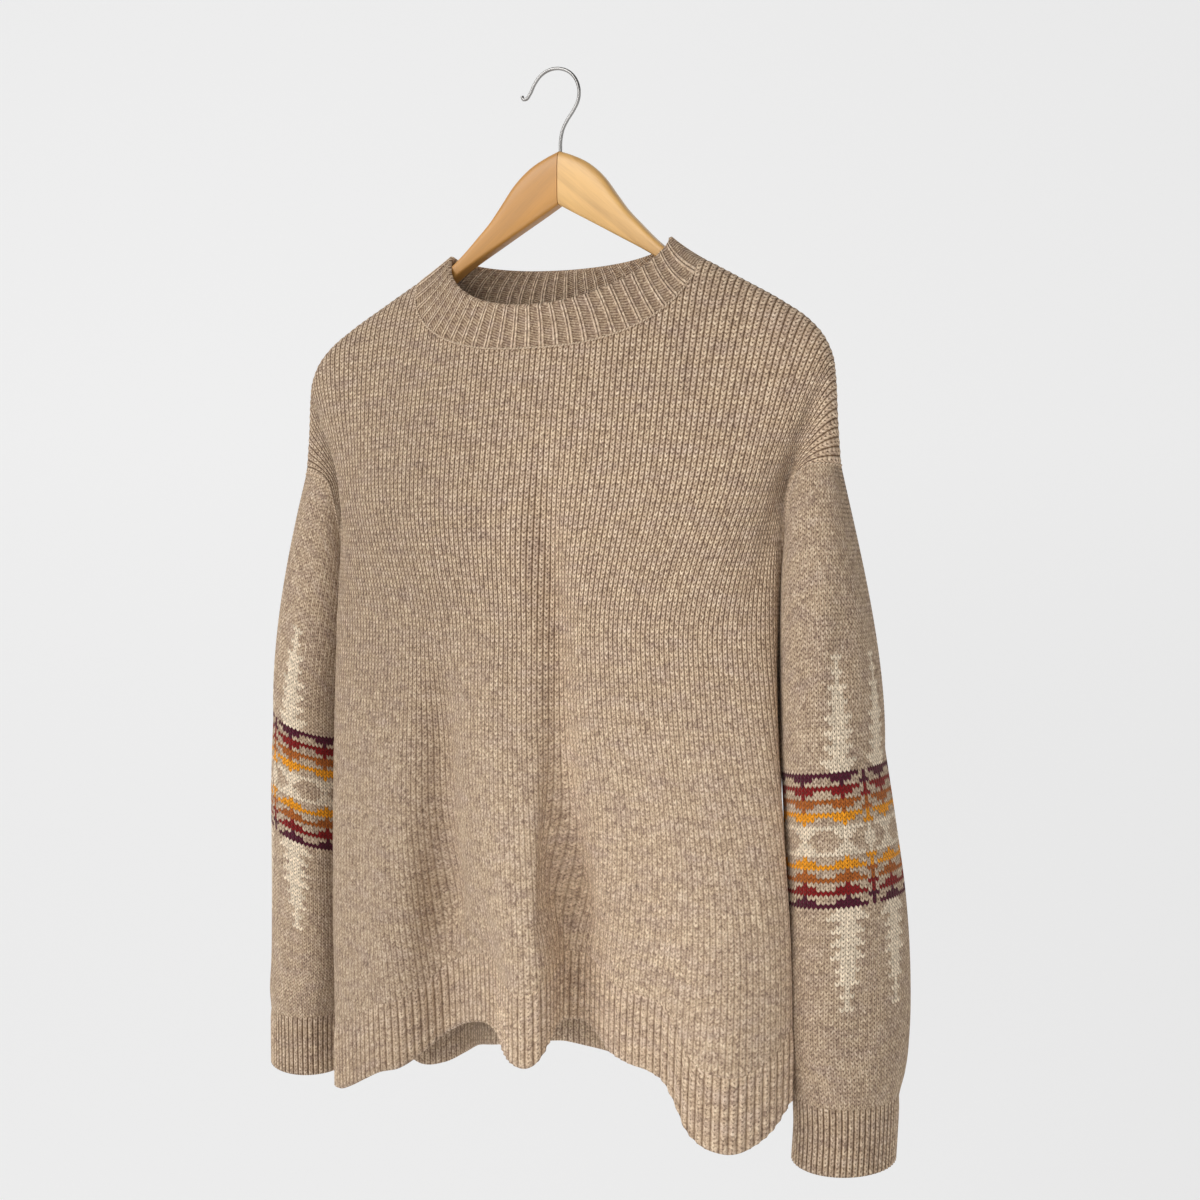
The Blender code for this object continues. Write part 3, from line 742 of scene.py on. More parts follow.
@dataclass(frozen=True)
class KnitRelief:
    """Raises the wales or ribs of a knit out of a plain wall.

    Each point of the wall has a "phase", its share of the way across its wale or rib, and an
    "outward" vector, which is zero on the wall's inside.

    Attributes:
        profile: Cross-section of a column.
        height: How high the columns rise.
        sharp: Angle between faces above which an edge stays sharp.
        pair_middle: Where a rib's pair of wales has its middle, as a share of the rib.
        pair_round: How fast the pair falls off to its sides.
        notch: Sharpness and depth of the line between the two wales.
    """

    profile: Profile
    height: float
    sharp: float = 80.0
    pair_middle: float = 0.22
    pair_round: float = 6.5
    notch: Pair = (12.0, 0.70)

    def tree(self) -> bpy.types.NodeTree:
        """Make the node tree, with its height and material as named inputs.

        Returns:
            The tree.
        """
        sheet = TreeSheet("knit_relief_" + self.profile.name.lower(), {"Height": "Float"})
        phase = sheet.attribute("phase", "FLOAT")
        outward = sheet.attribute("outward", "FLOAT_VECTOR")
        if self.profile is Profile.WALE:
            level = sheet.line(sheet.math("COSINE", sheet.times(phase, 2 * math.pi)), -0.5, 0.5)
        else:
            notch_sharp, notch_depth = self.notch
            off = sheet.gap(phase, self.pair_middle)
            swell = sheet.math("COSINE", sheet.math("MINIMUM", sheet.times(off, self.pair_round),
                                                    math.pi / 2))
            notch = sheet.line(off, -notch_sharp, 1.0, clamp=True)
            level = sheet.line(notch, -notch_depth, sheet.math("POWER", swell, 0.5))
        rise = sheet.scaled(outward, sheet.times(level, sheet.entry["Height"]))
        moved = sheet.add("GeometryNodeSetPosition", {"Geometry": sheet.entry["Geometry"],
                                                      "Offset": rise})
        return sheet.finished(moved.outputs[0])

    def apply(self, obj: Object, material: Material) -> None:
        """Run the tree on a wall and keep its result as the wall's plain mesh."""
        run_tree(obj, self.tree(), {"Height": self.height * MM, "Finish": material})
        obj.data.set_sharp_from_angle(angle=math.radians(self.sharp))


@dataclass(frozen=True)
class SeamStitches:
    """Small slanting stitches one after another along a closed seam.

    Attributes:
        pitch: Distance between stitches.
        size: Length, width and height of one stitch.
        slant: Turn of each stitch away from the seam.
        uneven: Least and greatest factor on a stitch's size.
        seed: Seed of the stitches' uneven sizes.
    """

    pitch: float = 2.9
    size: Triple = (3.4, 1.5, 1.3)
    slant: float = 24.0
    uneven: Pair = (0.85, 1.15)
    seed: int = 4

    def tree(self) -> bpy.types.NodeTree:
        """Make the node tree, with pitch, size, slant and material as named inputs.

        Returns:
            The tree.
        """
        sheet = TreeSheet("seam_stitches", {"Pitch": "Float", "Size": "Vector",
                                            "Slant": "Float"})
        entry = sheet.entry
        route = sheet.add("GeometryNodeMeshToCurve", {"Mesh": entry["Geometry"]})
        points = sheet.add("GeometryNodeCurveToPoints", {
            "Curve": route.outputs[0], "Length": entry["Pitch"]}, mode="LENGTH").outputs
        aligned = sheet.add("FunctionNodeAxesToRotation", {
            "Primary Axis": points["Tangent"],
            "Secondary Axis": sheet.attribute("away", "FLOAT_VECTOR")},
            primary_axis="X", secondary_axis="Z")
        angle = sheet.add("FunctionNodeEulerToRotation",
                          {0: sheet.combine(0.0, 0.0, entry["Slant"])})
        turned = sheet.add("FunctionNodeRotateRotation", {
            0: aligned.outputs[0], 1: angle.outputs[0]}, rotation_space="LOCAL")
        bead = sheet.add("GeometryNodeMeshUVSphere", {"Segments": 8, "Rings": 5, "Radius": 0.5})
        vary = sheet.add("FunctionNodeRandomValue", {
            2: self.uneven[0], 3: self.uneven[1], "Seed": self.seed}, data_type="FLOAT")
        placed = sheet.add("GeometryNodeInstanceOnPoints", {
            "Points": points["Points"], "Instance": bead.outputs["Mesh"],
            "Rotation": turned.outputs[0],
            "Scale": sheet.scaled(entry["Size"], vary.outputs[1])})
        return sheet.finished(placed.outputs[0], smooth=True)

    def build(self, name: str, route: Array, away: Array, material: Material) -> Object:
        """Make one seam's stitches.

        Args:
            name: Name of the piece.
            route: Points round the seam.
            away: Directions out of the cloth at those points.
            material: Finish of the stitches.

        Returns:
            The object.
        """
        count = len(route)
        mesh = bpy.data.meshes.new(name)
        mesh.from_pydata((route * MM).tolist(), [(at, (at + 1) % count) for at in range(count)],
                         [])
        mesh.attributes.new("away", "FLOAT_VECTOR", "POINT").data.foreach_set(
            "vector", away.astype(np.float32).ravel())
        obj = show(name, mesh)
        run_tree(obj, self.tree(), {"Pitch": self.pitch * MM, "Slant": math.radians(self.slant),
                                    "Size": [side * MM for side in self.size],
                                    "Finish": material})
        return obj


# ---- walls of cloth --------------------------------------------------------------------
@dataclass
class Wall:
    """A closed wall of cloth between an outer and an inner grid of points.

    Attributes:
        name: Name of the piece.
        outer: Outer points, rows running down and columns rightward.
        inner: Inner points, with the same columns.
        outward: Way and share by which each outer point is raised.
        phase: Share of the way across its wale or rib, for each column.
        stitch: Stitch coordinates of the outer points, wales and courses.
        closed: Whether the last column joins the first, as on a tube.
        flip: Whether the columns run leftward seen from outside.
        wales_round: Wales round a tube.
        yarn: Colours of the outer faces, where a chart gives them.
        rims: Swell of the first and the last row's edge, as shares of the thickness.
        both_sides: Whether the inside is raised like the outside.
    """

    name: str
    outer: Array
    inner: Array
    outward: Array
    phase: Array
    stitch: Array
    closed: bool
    flip: bool
    wales_round: float = 0.0
    yarn: Array | None = None
    rims: Pair = (0.0, 0.0)
    both_sides: bool = False

    def faces(self) -> tuple[Array, Array, Array]:
        """Work out the wall's corners.

        Returns:
            Vertices in metres, quads as vertex numbers, and each quad corner's stitch
            coordinates. A quad that names a vertex twice stands for a triangle.
        """
        rows, columns = self.outer.shape[:2]
        low_rows = len(self.inner)
        ends = []
        for row, beside in ((0, 1), (-1, -2)):
            out = unit(self.outer[row] - self.outer[beside])
            thick = np.linalg.norm(self.outer[row] - self.inner[row], axis=-1, keepdims=True)
            ends.append((self.outer[row] + self.inner[row]) / 2 + out * thick * self.rims[row])
        points = np.concatenate([self.outer, self.inner, np.array(ends)]).reshape(-1, 3)
        first, last = self.stitch[0], self.stitch[-1]
        low_stitch = stitch_map(first[:, 0], np.linspace(first[:, 1], last[:, 1], low_rows))
        values = np.concatenate([self.stitch, low_stitch, first[None], last[None]])
        numbers = np.arange(len(points)).reshape(-1, columns)
        outer_at, inner_at, end_at = np.split(numbers, (rows, rows + low_rows))
        column = np.arange(columns if self.closed else columns - 1)
        after = (column + 1) % columns

        def strips(grid: Array, other: Array) -> Array:
            """Quads between two matching sets of vertex rows."""
            return np.stack([grid[:, column], other[:, column], other[:, after],
                             grid[:, after]], axis=-1).reshape(-1, 4)

        quads = [strips(outer_at[:-1], outer_at[1:]), strips(inner_at[1:], inner_at[:-1]),
                 strips(end_at[:1], outer_at[:1]), strips(inner_at[:1], end_at[:1]),
                 strips(outer_at[-1:], end_at[1:]), strips(end_at[1:], inner_at[-1:])]
        if not self.closed:
            for edge, turn in ((0, 1), (columns - 1, -1)):
                out, low, end = outer_at[:, edge], inner_at[:, edge], end_at[:, edge]
                side = np.stack([out[:-1], low[:-1], low[1:], out[1:]], axis=-1)
                caps = np.array([[out[0], end[0], low[0], low[0]],
                                 [low[-1], end[1], out[-1], out[-1]]])
                quads += [side[:, ::turn], caps[:, ::turn]]
        quads = np.concatenate(quads)
        corners = values.reshape(-1, 2)[quads]
        if self.closed:
            corners[quads[:, 2] % columns == 0, 2:, 0] += self.wales_round
        if self.flip:
            quads, corners = quads[:, ::-1], corners[:, ::-1]
        return points * MM, quads, corners

    def build(self) -> Object:
        """Make the wall's object, with its stitch map, phases and yarn colours.

        Returns:
            The object.
        """
        points, quads, corners = self.faces()
        kept = np.ones(quads.shape, dtype=bool)
        kept[:, 0] = quads[:, 0] != quads[:, 1]
        kept[:, 3] = quads[:, 3] != quads[:, 2]
        sizes = kept.sum(axis=1)
        starts = np.cumsum(sizes) - sizes
        mesh = bpy.data.meshes.new(self.name)
        mesh.vertices.add(len(points))
        mesh.vertices.foreach_set("co", points.astype(np.float32).ravel())
        mesh.loops.add(int(sizes.sum()))
        mesh.loops.foreach_set("vertex_index", quads[kept].astype(np.int32))
        mesh.polygons.add(len(sizes))
        mesh.polygons.foreach_set("loop_start", starts.astype(np.int32))
        mesh.polygons.foreach_set("loop_total", sizes.astype(np.int32))
        mesh.polygons.foreach_set("use_smooth", np.ones(len(sizes), dtype=bool))
        mesh.update(calc_edges=True)
        mesh.uv_layers.new(name="stitch").data.foreach_set(
            "uv", corners[kept].astype(np.float32).ravel())
        count = self.outer.shape[0] * self.outer.shape[1]
        phase = np.zeros(len(points), dtype=np.float32)
        phase[:count] = np.broadcast_to(self.phase, self.outer.shape[:2]).ravel()
        outward = np.zeros((len(points), 3), dtype=np.float32)
        outward[:count] = self.outward.reshape(-1, 3)
        if self.both_sides:
            phase[count:2 * count] = phase[:count]
            outward[count:2 * count] = -outward[:count]
        mesh.attributes.new("phase", "FLOAT", "POINT").data.foreach_set("value", phase)
        mesh.attributes.new("outward", "FLOAT_VECTOR", "POINT").data.foreach_set(
            "vector", outward.ravel())
        if self.yarn is not None:
            tints = np.zeros((len(sizes), 4), dtype=np.float32)
            cells = self.yarn.reshape(-1, 4)
            tints[:len(cells)] = cells
            mesh.color_attributes.new("yarn", "FLOAT_COLOR", "CORNER").data.foreach_set(
                "color", np.repeat(tints, sizes, axis=0).ravel())
        mesh.validate()
        return show(self.name, mesh)

    def knit(self, profile: Profile, height: float, finish: Material) -> Object:
        """Make the wall's object with its wales or ribs raised.

        Args:
            profile: Cross-section of the raised columns.
            height: How high they rise.
            finish: Finish of the cloth.

        Returns:
            The object.
        """
        obj = self.build()
        KnitRelief(profile, height).apply(obj, finish)
        return obj


# ---- the sweater's shape ---------------------------------------------------------------
@dataclass(frozen=True)
class HangerLine:
    """The hanger's depth along its arms, which the shoulders follow."""

    end_forward: float = 15.0
    reach: float = 229.0

    def forward(self, x: Array | float) -> Array:
        """Depth of the hanger's centre line at a distance from the centre."""
        return -self.end_forward * (np.abs(x) / self.reach) ** 1.2


@dataclass(frozen=True)
class BodyShape:
    """Surface of the front and back: a yoke over the hanger, then the hanging body.

    Across counts from -1, the left seam, to 1. Share runs from the shoulder line, 0, to the
    underarm, 1. Level runs from the underarm, 0, to the top of the hem rib, 1, and to the
    hem's edge, 1.25. A fold has its place across, half width, rise and squareness, leans over
    by a share of its rise, and fades towards the seams by fold_fade.
    """

    line: HangerLine = HangerLine()
    chest_at: float = 0.42
    underarm_z: float = -470.0
    rib_height: float = 56.0
    hem_level: float = 1.25
    neck_half_width: float = 129.0
    neck_side_z: float = -164.0
    neck_across: float = 0.44
    neck_round: float = 2.6
    neck_drop: Pair = (68.0, 22.0)
    section_square: float = 0.62
    tuck_start: float = 73.0
    fold_lean: Pair = (0.5, 0.0)
    fold_fade: float = 0.45
    shoulder: Table = Table(("across", "x", "z", "pull"), (
        (0.00, 0, -126, 250), (0.22, 64.5, -135, 220), (0.44, 129, -164, 140),
        (0.55, 166, -184.5, 126), (0.64, 197, -202.5, 122), (0.70, 217, -216.5, 120),
        (0.745, 229, -229.5, 118), (0.785, 235.5, -242.5, 118), (0.84, 238.5, -259, 116),
        (0.92, 240.5, -293, 112), (1.00, 243, -328, 112)))
    chest: Table = Table(("across", "x", "front_y", "back_y", "z"), (
        (0.00, 0, -72, 32, -335), (0.22, 64, -70, 31, -333), (0.44, 124, -63, 26, -330),
        (0.60, 166, -54, 20, -331), (0.70, 189, -45, 13, -334), (0.77, 199, -35, 5, -337),
        (0.84, 201.5, -26, -2, -339), (0.92, 205, -25, -5, -340), (1.00, 211, -30, -2, -341)))
    levels: Table = Table(("level", "front_width", "back_width", "seam", "swing", "centre_y",
                           "front", "back", "fold"), (
        (0.00, 204, 198, 197, 0, -15, 61, 52, 0.00), (0.25, 208, 195, 190, 1, -15, 63, 54, 0.05),
        (0.50, 212, 194, 182, 3, -15, 64, 56, 0.25), (0.75, 215, 195, 177, 5, -15, 63, 57, 0.65),
        (1.00, 216, 196, 175, 6, -15, 60, 57, 1.00), (1.25, 216, 196, 175, 6, -15, 59, 56, 1.10)))
    folds: tuple[tuple[tuple[float, ...], ...], ...] = (
        ((-146, 40, 8, 2), (-74, 34, -24, 2), (2, 25, 26, 4), (46, 26, -26, 2),
         (158, 46, 26, 2)),
        ((-138, 46, 12, 2), (-74, 34, -26, 2), (0, 36, 14, 2), (78, 34, -28, 2),
         (146, 44, 10, 2)))
    hem: Table = Table(("place", "front_z", "back_z"), (
        (-210, -866, -848), (-199, -863, -848), (-182, -854, -850), (-165, -843, -862),
        (-146, -832, -860), (-124, -826, -848), (-100, -814, -833), (-74, -796, -824),
        (-53, -783, -822), (-36, -778.5, -823), (-27, -782, -824), (-20, -791, -826),
        (-10, -795, -828.5), (4, -794, -830), (13, -788, -830), (20, -779, -830),
        (27, -771.5, -829), (40, -770.5, -826), (54, -771.5, -823.5), (62, -776, -822),
        (72, -785, -822), (86, -789, -824), (107, -791.5, -829), (116, -796, -831),
        (124, -809, -833), (132, -826, -834.5), (141, -834, -836), (155, -838, -838),
        (178, -836, -836), (200, -821, -836), (209, -808, -836)))

    def neck_height(self, x: Array, face: Face) -> Array:
        """Height of the neck seam at a distance from the centre."""
        size = np.clip(np.abs(x) / self.neck_half_width, 0.0, 1.0)
        return self.neck_side_z - face.pick(self.neck_drop) * np.sqrt(
            1.0 - size ** self.neck_round)

    def outline(self, across: Array, level: float, face: Face) -> list[Array]:
        """Plan outline of a panel at one level of the body, spaced along the cloth.

        Args:
            across: Places across the panel.
            level: Level of the body.
            face: Which panel.

        Returns:
            x, y and the place across the body before its folds lean over.
        """
        size = self.levels.sizes(level)
        half_width = size[face.word + "_width"]
        turn = np.radians(np.linspace(-90.0, 90.0, FINE))
        tuck = smooth_step((np.degrees(np.abs(turn)) - self.tuck_start)
                           / (90.0 - self.tuck_start)) ** 2
        place = half_width * np.sin(turn) - np.sign(turn) * tuck * (half_width - size["seam"])
        reach = size[face.word] * np.cos(turn) ** self.section_square
        fade = smooth_step(np.cos(turn) / self.fold_fade)
        folded = sum(rise * size["fold"] * fade * np.exp(-np.abs((place - at) / width) ** square)
                     for at, width, rise, square in face.pick(self.folds))
        x = place + size["swing"] + face.pick(self.fold_lean) * folded
        y = size["centre_y"] + face.value * (reach + folded)
        length = travelled(np.stack([x, y], axis=-1))
        middle = length[len(turn) // 2]
        wanted = middle + across * np.where(across < 0, middle, length[-1] - middle)
        return [np.interp(wanted, length, values) for values in (x, y, place)]

    def body(self, across: Array, level: float, face: Face) -> Array:
        """Points of the lower body along one row.

        Args:
            across: Places across the panel.
            level: Level of the body.
            face: Which panel.

        Returns:
            The points.
        """
        x, y, _ = self.outline(across, level, face)
        place = self.outline(across, self.hem_level, face)[2]
        rib_z = self.hem.read(face.word + "_z", place) + self.rib_height
        if level <= 1.0:
            z = self.underarm_z + (rib_z - self.underarm_z) * level
        else:
            z = rib_z - self.rib_height * (level - 1.0) / (self.hem_level - 1.0)
        return np.stack([x, y, z], axis=-1)

    def yoke(self, across: Array, share: Array, face: Face) -> Array:
        """Points of the yoke at places across and shares down.

        Args:
            across: Places across the panel.
            share: Shares down, one for each place.
            face: Which panel.

        Returns:
            The points.
        """
        size = np.abs(across)
        shoulder, chest = self.shoulder.sizes(size), self.chest.sizes(size)
        x = shoulder["x"]
        top = np.stack([np.sign(across) * x, self.line.forward(np.minimum(x, self.line.reach)),
                        shoulder["z"]], axis=-1)
        leave_top = np.stack([0 * x, shoulder["pull"] * face.value, 0 * x], axis=-1)
        middle = np.stack([np.sign(across) * chest["x"], chest[face.word + "_y"], chest["z"]],
                          axis=-1)
        low = self.body(across, 0.0, face)
        fall = unit(self.body(across, 0.04, face) - low)
        fall = fall * np.linalg.norm(low - middle, axis=-1)[..., None] / (1.0 - self.chest_at)
        through = low - top
        share = share[..., None]
        high = share < self.chest_at
        span = np.where(high, self.chest_at, 1.0 - self.chest_at)
        leave = np.where(high, leave_top / (2 * self.chest_at), through) * span
        arrive = np.where(high, through, fall) * span
        return hermite(np.where(high, top, middle), np.where(high, middle, low), leave, arrive,
                       np.where(high, share, share - self.chest_at) / span)

    def armhole(self, side: Side, count: int) -> tuple[Array, Array]:
        """The seam where a sleeve joins the body.

        Args:
            side: Which sleeve.
            count: How many points.

        Returns:
            Points from the shoulder down the front and up the back, and the outward
            directions there.
        """
        down = np.linspace(0.0, 1.0, count // 2 + 1)
        across = np.full_like(down, 1.0)
        loop, away = [], []
        for face, order in ((Face.FRONT, slice(None, -1)), (Face.BACK, slice(None, 0, -1))):
            here = self.yoke(across, down, face)
            aside = here - self.yoke(across - 0.01, down, face)
            out = unit(np.cross(np.gradient(here, axis=0), aside)) * -face.value
            loop.append(here[order])
            away.append(out[order])
        return side.mirror(np.concatenate(loop)), side.mirror(np.concatenate(away))

    def neck_share(self, across: Array, face: Face) -> Array:
        """Share of the yoke at which the neck seam cuts each column, 0 beyond the neck.

        Args:
            across: Places across the panel.
            face: Which panel.

        Returns:
            One share for each place.
        """
        low, high = np.zeros_like(across), np.full_like(across, 0.9)
        for _ in range(34):
            middle = (low + high) / 2
            point = self.yoke(across, middle, face)
            above = point[..., 2] > self.neck_height(point[..., 0], face)
            low, high = np.where(above, middle, low), np.where(above, high, middle)
        return np.where(np.abs(across) < self.neck_across - 1e-6, low, 0.0)


YOKE_SPREAD = (0.0, 0.03, 0.07, 0.13, 0.21, 0.31, 0.42, 0.55, 0.70, 0.85, 1.0)
TUCK = 0.3  # depth to which a band's sewn edge lies inside the cloth above it


def spread_share(at: Array) -> Array:
    """Share of the yoke at a row number from 0 to 10, dense where it bends over the wood."""
    return np.interp(at, np.arange(len(YOKE_SPREAD)), YOKE_SPREAD)


def rib_start(rows: int) -> Array:
    """Factors on a ribbed band's relief, by row, which rises from nothing at its sewn edge."""
    return np.minimum(np.arange(rows) * 0.4, 1.0)[:, None, None]


@dataclass
class BodyPanel:
    """The front or the back of the sweater, in stocking stitch.

    Attributes:
        course: Height of one course.
        worn_from: Depth from which the wales get flatter.
        worn_over: Further depth at which they are flattest.
        worn_flat: Share of their height that they lose there.
        seam_fade: Share of the half width over which creases fade at the side seams.
        fade_rows: Rows over which creases fade below the top and above the rib.
    """

    face: Face
    shape: BodyShape
    finish: Material
    creases: tuple[Crease, ...]
    wales: int = 124
    points_per_wale: int = 4
    yoke_rows: int = 40
    body_rows: int = 30
    cloth: float = 2.6
    ridge: float = 0.5
    course: float = 3.5
    worn_from: float = 330.0
    worn_over: float = 190.0
    worn_flat: float = 0.5
    seam_fade: float = 0.08
    fade_rows: Pair = (6, 6)
    corner_turns: tuple[float, ...] = (79.0, 82.0, 84.5, 86.5, 88.5, 90.0)

    def columns(self) -> Array:
        """Places of the columns across the panel, with more at the neck's corners.

        Returns:
            Rising places from -1 to 1.
        """
        even = np.linspace(-1.0, 1.0, self.wales * self.points_per_wale + 1)
        corner = self.shape.neck_across * np.sin(np.radians(self.corner_turns))
        even = even[np.abs(np.abs(even)[:, None] - corner).min(axis=1) > 5e-4]
        return np.sort(np.concatenate([even, corner, -corner]))

    def surface(self) -> Array:
        """Outer points of the panel from its top edge to the rib, with its creases.

        Returns:
            Grid of points, rows running down.
        """
        across = self.columns()
        neck = self.shape.neck_share(across, self.face)
        shares = spread_share(np.linspace(0.0, 10.0, self.yoke_rows + 1))[:-1]
        rows = [self.shape.yoke(across, neck + (1 - neck) * share, self.face)
                for share in shares]
        rows += [self.shape.body(across, level, self.face)
                 for level in np.linspace(0.0, 1.0, self.body_rows + 1)]
        points = np.array(rows)
        height = sum(crease.height(points[..., 0], points[..., 2]) for crease in self.creases)
        height = height * smooth_step((1 - np.abs(across)) / self.seam_fade)
        height = height * fade_ends(len(rows), *self.fade_rows)
        return points + self.outward(points) * height[..., None]

    def outward(self, points: Array) -> Array:
        """Outward directions of the grid, the same on both panels along the seams.

        Args:
            points: Outer points of the panel.

        Returns:
            One unit vector for each point.
        """
        normals = grid_normals(points) * -self.face.value
        level = (1.0, 0.0, 1.0)
        sewn = np.abs(self.columns()) >= self.shape.neck_across - 1e-6
        normals[0, sewn] = unit(normals[0, sewn] * level)
        for edge in (0, -1):
            normals[self.yoke_rows:, edge] = unit(normals[self.yoke_rows:, edge] * level)
        return normals

    def build(self) -> Object:
        """Make the panel.

        Returns:
            The panel's object.
        """
        outer = self.surface()
        normals = self.outward(outer)
        fall = travelled(outer)
        wales = self.columns() * self.wales / 2
        worn = smooth_step((-outer[..., 2:] - self.worn_from) / self.worn_over)
        raised = 1 - self.worn_flat * worn
        return Wall("knit_" + self.face.word, outer, outer - normals * self.cloth,
                    normals * raised, wales % 1.0,
                    stitch_map(wales, (fall[self.yoke_rows] - fall) / self.course),
                    closed=False, flip=self.face is Face.BACK,
                    ).knit(Profile.WALE, self.ridge, self.finish)


@dataclass
class HemBand:
    """The ribbed band below the front or the back."""

    face: Face
    shape: BodyShape
    finish: Material
    ribs: int = 98
    points_per_rib: int = 6
    rows: int = 13
    courses: float = 17.0
    cloth: float = 2.8
    ridge: float = 1.25
    first_level: float = 0.998

    def build(self) -> Object:
        """Make the band.

        Returns:
            The band's object.
        """
        across = np.linspace(-1.0, 1.0, self.ribs * self.points_per_rib + 1)
        levels = np.linspace(1.0, self.shape.hem_level, self.rows)
        levels[0] = self.first_level
        outer = np.array([self.shape.body(across, level, self.face) for level in levels])
        normals = grid_normals(outer) * -self.face.value
        outer[0] -= normals[0] * TUCK
        ribs = across * self.ribs / 2
        fall = (levels[:, None] - 1.0) / (self.shape.hem_level - 1.0) * self.courses
        return Wall("rib_hem_" + self.face.word, outer, outer - normals * self.cloth,
                    normals * rib_start(self.rows), ribs % 1.0, stitch_map(ribs, -fall),
                    closed=False, flip=self.face is Face.BACK, rims=(0.0, 0.45),
                    ).knit(Profile.WALE, self.ridge, self.finish)


@dataclass
class NeckBand:
    """The ribbed collar that rises from the neck seam, ribbed inside and out.

    Attributes:
        reach: Depth of the free edge in front of and behind its sides.
        bulge: How far it swells between its edges, as a share of its height.
        tuck: How far its sewn edge runs on below the seam, inside the body's cloth.
        sink: How far that edge lies below the cloth's surface.
        bead_rise: How far the sewing stitches lie above the cloth, and below it at the corners.
        bead_corner: Points of the seam where they start to rise, and over which they do.
    """

    shape: BodyShape
    finish: Material
    half_width: float = 101.0
    side_z: float = -145.0
    drop: Pair = (54.0, 15.0)
    reach: Pair = (47.0, 32.0)
    roundness: float = 1.12
    ribs: int = 54
    points_per_rib: int = 12
    wales_per_rib: int = 4
    rows: int = 13
    courses: float = 18.0
    cloth: float = 3.2
    ridge: float = 1.4
    bulge: float = 0.16
    tuck: float = 2.0
    sink: float = 0.9
    bead_rise: Pair = (1.1, -0.4)
    bead_corner: Pair = (2.0, 12.0)

    def edge(self, turn: Array, face: Face) -> Array:
        """Points of the collar's free top edge; turn is 0 at the centre.

        Args:
            turn: Turns round the neck, in radians.
            face: Which half of the collar.

        Returns:
            The points.
        """
        cosine = np.abs(np.cos(turn)) ** self.roundness
        side_y = self.shape.line.forward(self.half_width)
        return np.stack([self.half_width * np.sin(turn),
                         side_y + face.value * face.pick(self.reach) * cosine,
                         self.side_z - face.pick(self.drop) * cosine], axis=-1)

    def seam(self, turn: Array, face: Face) -> tuple[Array, Array]:
        """Points of the neck seam, and the body's outward directions there.

        Args:
            turn: Turns round the neck, 0 at the centre.
            face: Which panel.

        Returns:
            The points and the directions.
        """
        across = self.shape.neck_across * np.sin(turn) * 0.9999
        share = self.shape.neck_share(across, face)
        here = self.shape.yoke(across, share, face)
        right = self.shape.yoke(across + 0.002, share, face) - here
        down = self.shape.yoke(across, share + 0.004, face) - here
        return here, unit(np.cross(down, right)) * -face.value

    def turns(self, count: int) -> list[tuple[Array, Face]]:
        """Turns spaced evenly along the free edge, half the count on each face.

        Args:
            count: How many points go round the neck.

        Returns:
            The front's turns from the left, then the back's from the right, with the face.
        """
        turn = np.linspace(-math.pi / 2, math.pi / 2, FINE)
        pairs = []
        for face in Face:
            length = travelled(self.edge(turn, face))
            even = np.interp(np.arange(count // 2) * length[-1] * 2 / count, length, turn)
            pairs.append((even * -face.value, face))
        return pairs

    def seam_loop(self, count: int) -> tuple[Array, Array]:
        """The whole neck seam.

        Args:
            count: How many points.

        Returns:
            Points round the neck from its left side, front first, and the outward
            directions there.
        """
        base, out = (np.concatenate(part) for part in
                     zip(*(self.seam(turn, face) for turn, face in self.turns(count))))
        return base, smooth_round(out, 9)

    def build(self) -> Object:
        """Make the collar.

        Returns:
            The collar's object.
        """
        count = self.ribs * self.points_per_rib
        top = np.concatenate([self.edge(turn, face) for turn, face in self.turns(count)])
        base, out = self.seam_loop(count)
        along = np.roll(base, -1, axis=0) - np.roll(base, 1, axis=0)
        rise = unit(smooth_round(np.cross(out, along), 9))
        height = np.linalg.norm(top - base, axis=-1, keepdims=True)
        half = (base + top) / 2 + (rise - unit(top - base)) * height * self.bulge
        rows = [top * (1 - at) * (1 - 2 * at) + half * 4 * at * (1 - at) + base * at * (2 * at - 1)
                for at in np.linspace(0.0, 1.0, self.rows)]
        outer = np.array([*rows, base - rise * self.tuck - out * self.sink])
        normals = smooth_round(grid_normals(outer, closed=True).swapaxes(0, 1), 5).swapaxes(0, 1)
        normals[-1] = out
        ribs = np.arange(count) / self.points_per_rib
        courses = -np.linspace(0.0, self.courses, len(outer))[:, None]
        above_seam = (len(outer) - 1.0 - np.arange(len(outer)))[:, None, None]
        return Wall("rib_collar", outer, outer - normals * self.cloth,
                    normals * np.minimum(1.0, above_seam / 2), ribs % 1.0,
                    stitch_map(ribs * self.wales_per_rib, courses), closed=True, flip=False,
                    wales_round=float(self.ribs * self.wales_per_rib), rims=(0.55, 0.0),
                    both_sides=True).knit(Profile.RIB, self.ridge, self.finish)

    def sew(self, stitches: SeamStitches, yarn: Material, count: int = 360) -> Object:
        """Make the neck seam's stitches, which sink into the cloth at the two corners.

        Args:
            stitches: How the stitches are made.
            yarn: Their finish.
            count: How many points the seam is drawn with.

        Returns:
            The stitches' object.
        """
        route, away = self.seam_loop(count)
        half = count // 2
        number = np.arange(count) % half
        corner = np.minimum(number, half - number)[:, None]
        high, low = self.bead_rise
        start, over = self.bead_corner
        lift = (high - low) * smooth_step((corner - start) / over) + low
        return stitches.build("stitches_neck", route + away * lift, away, yarn)


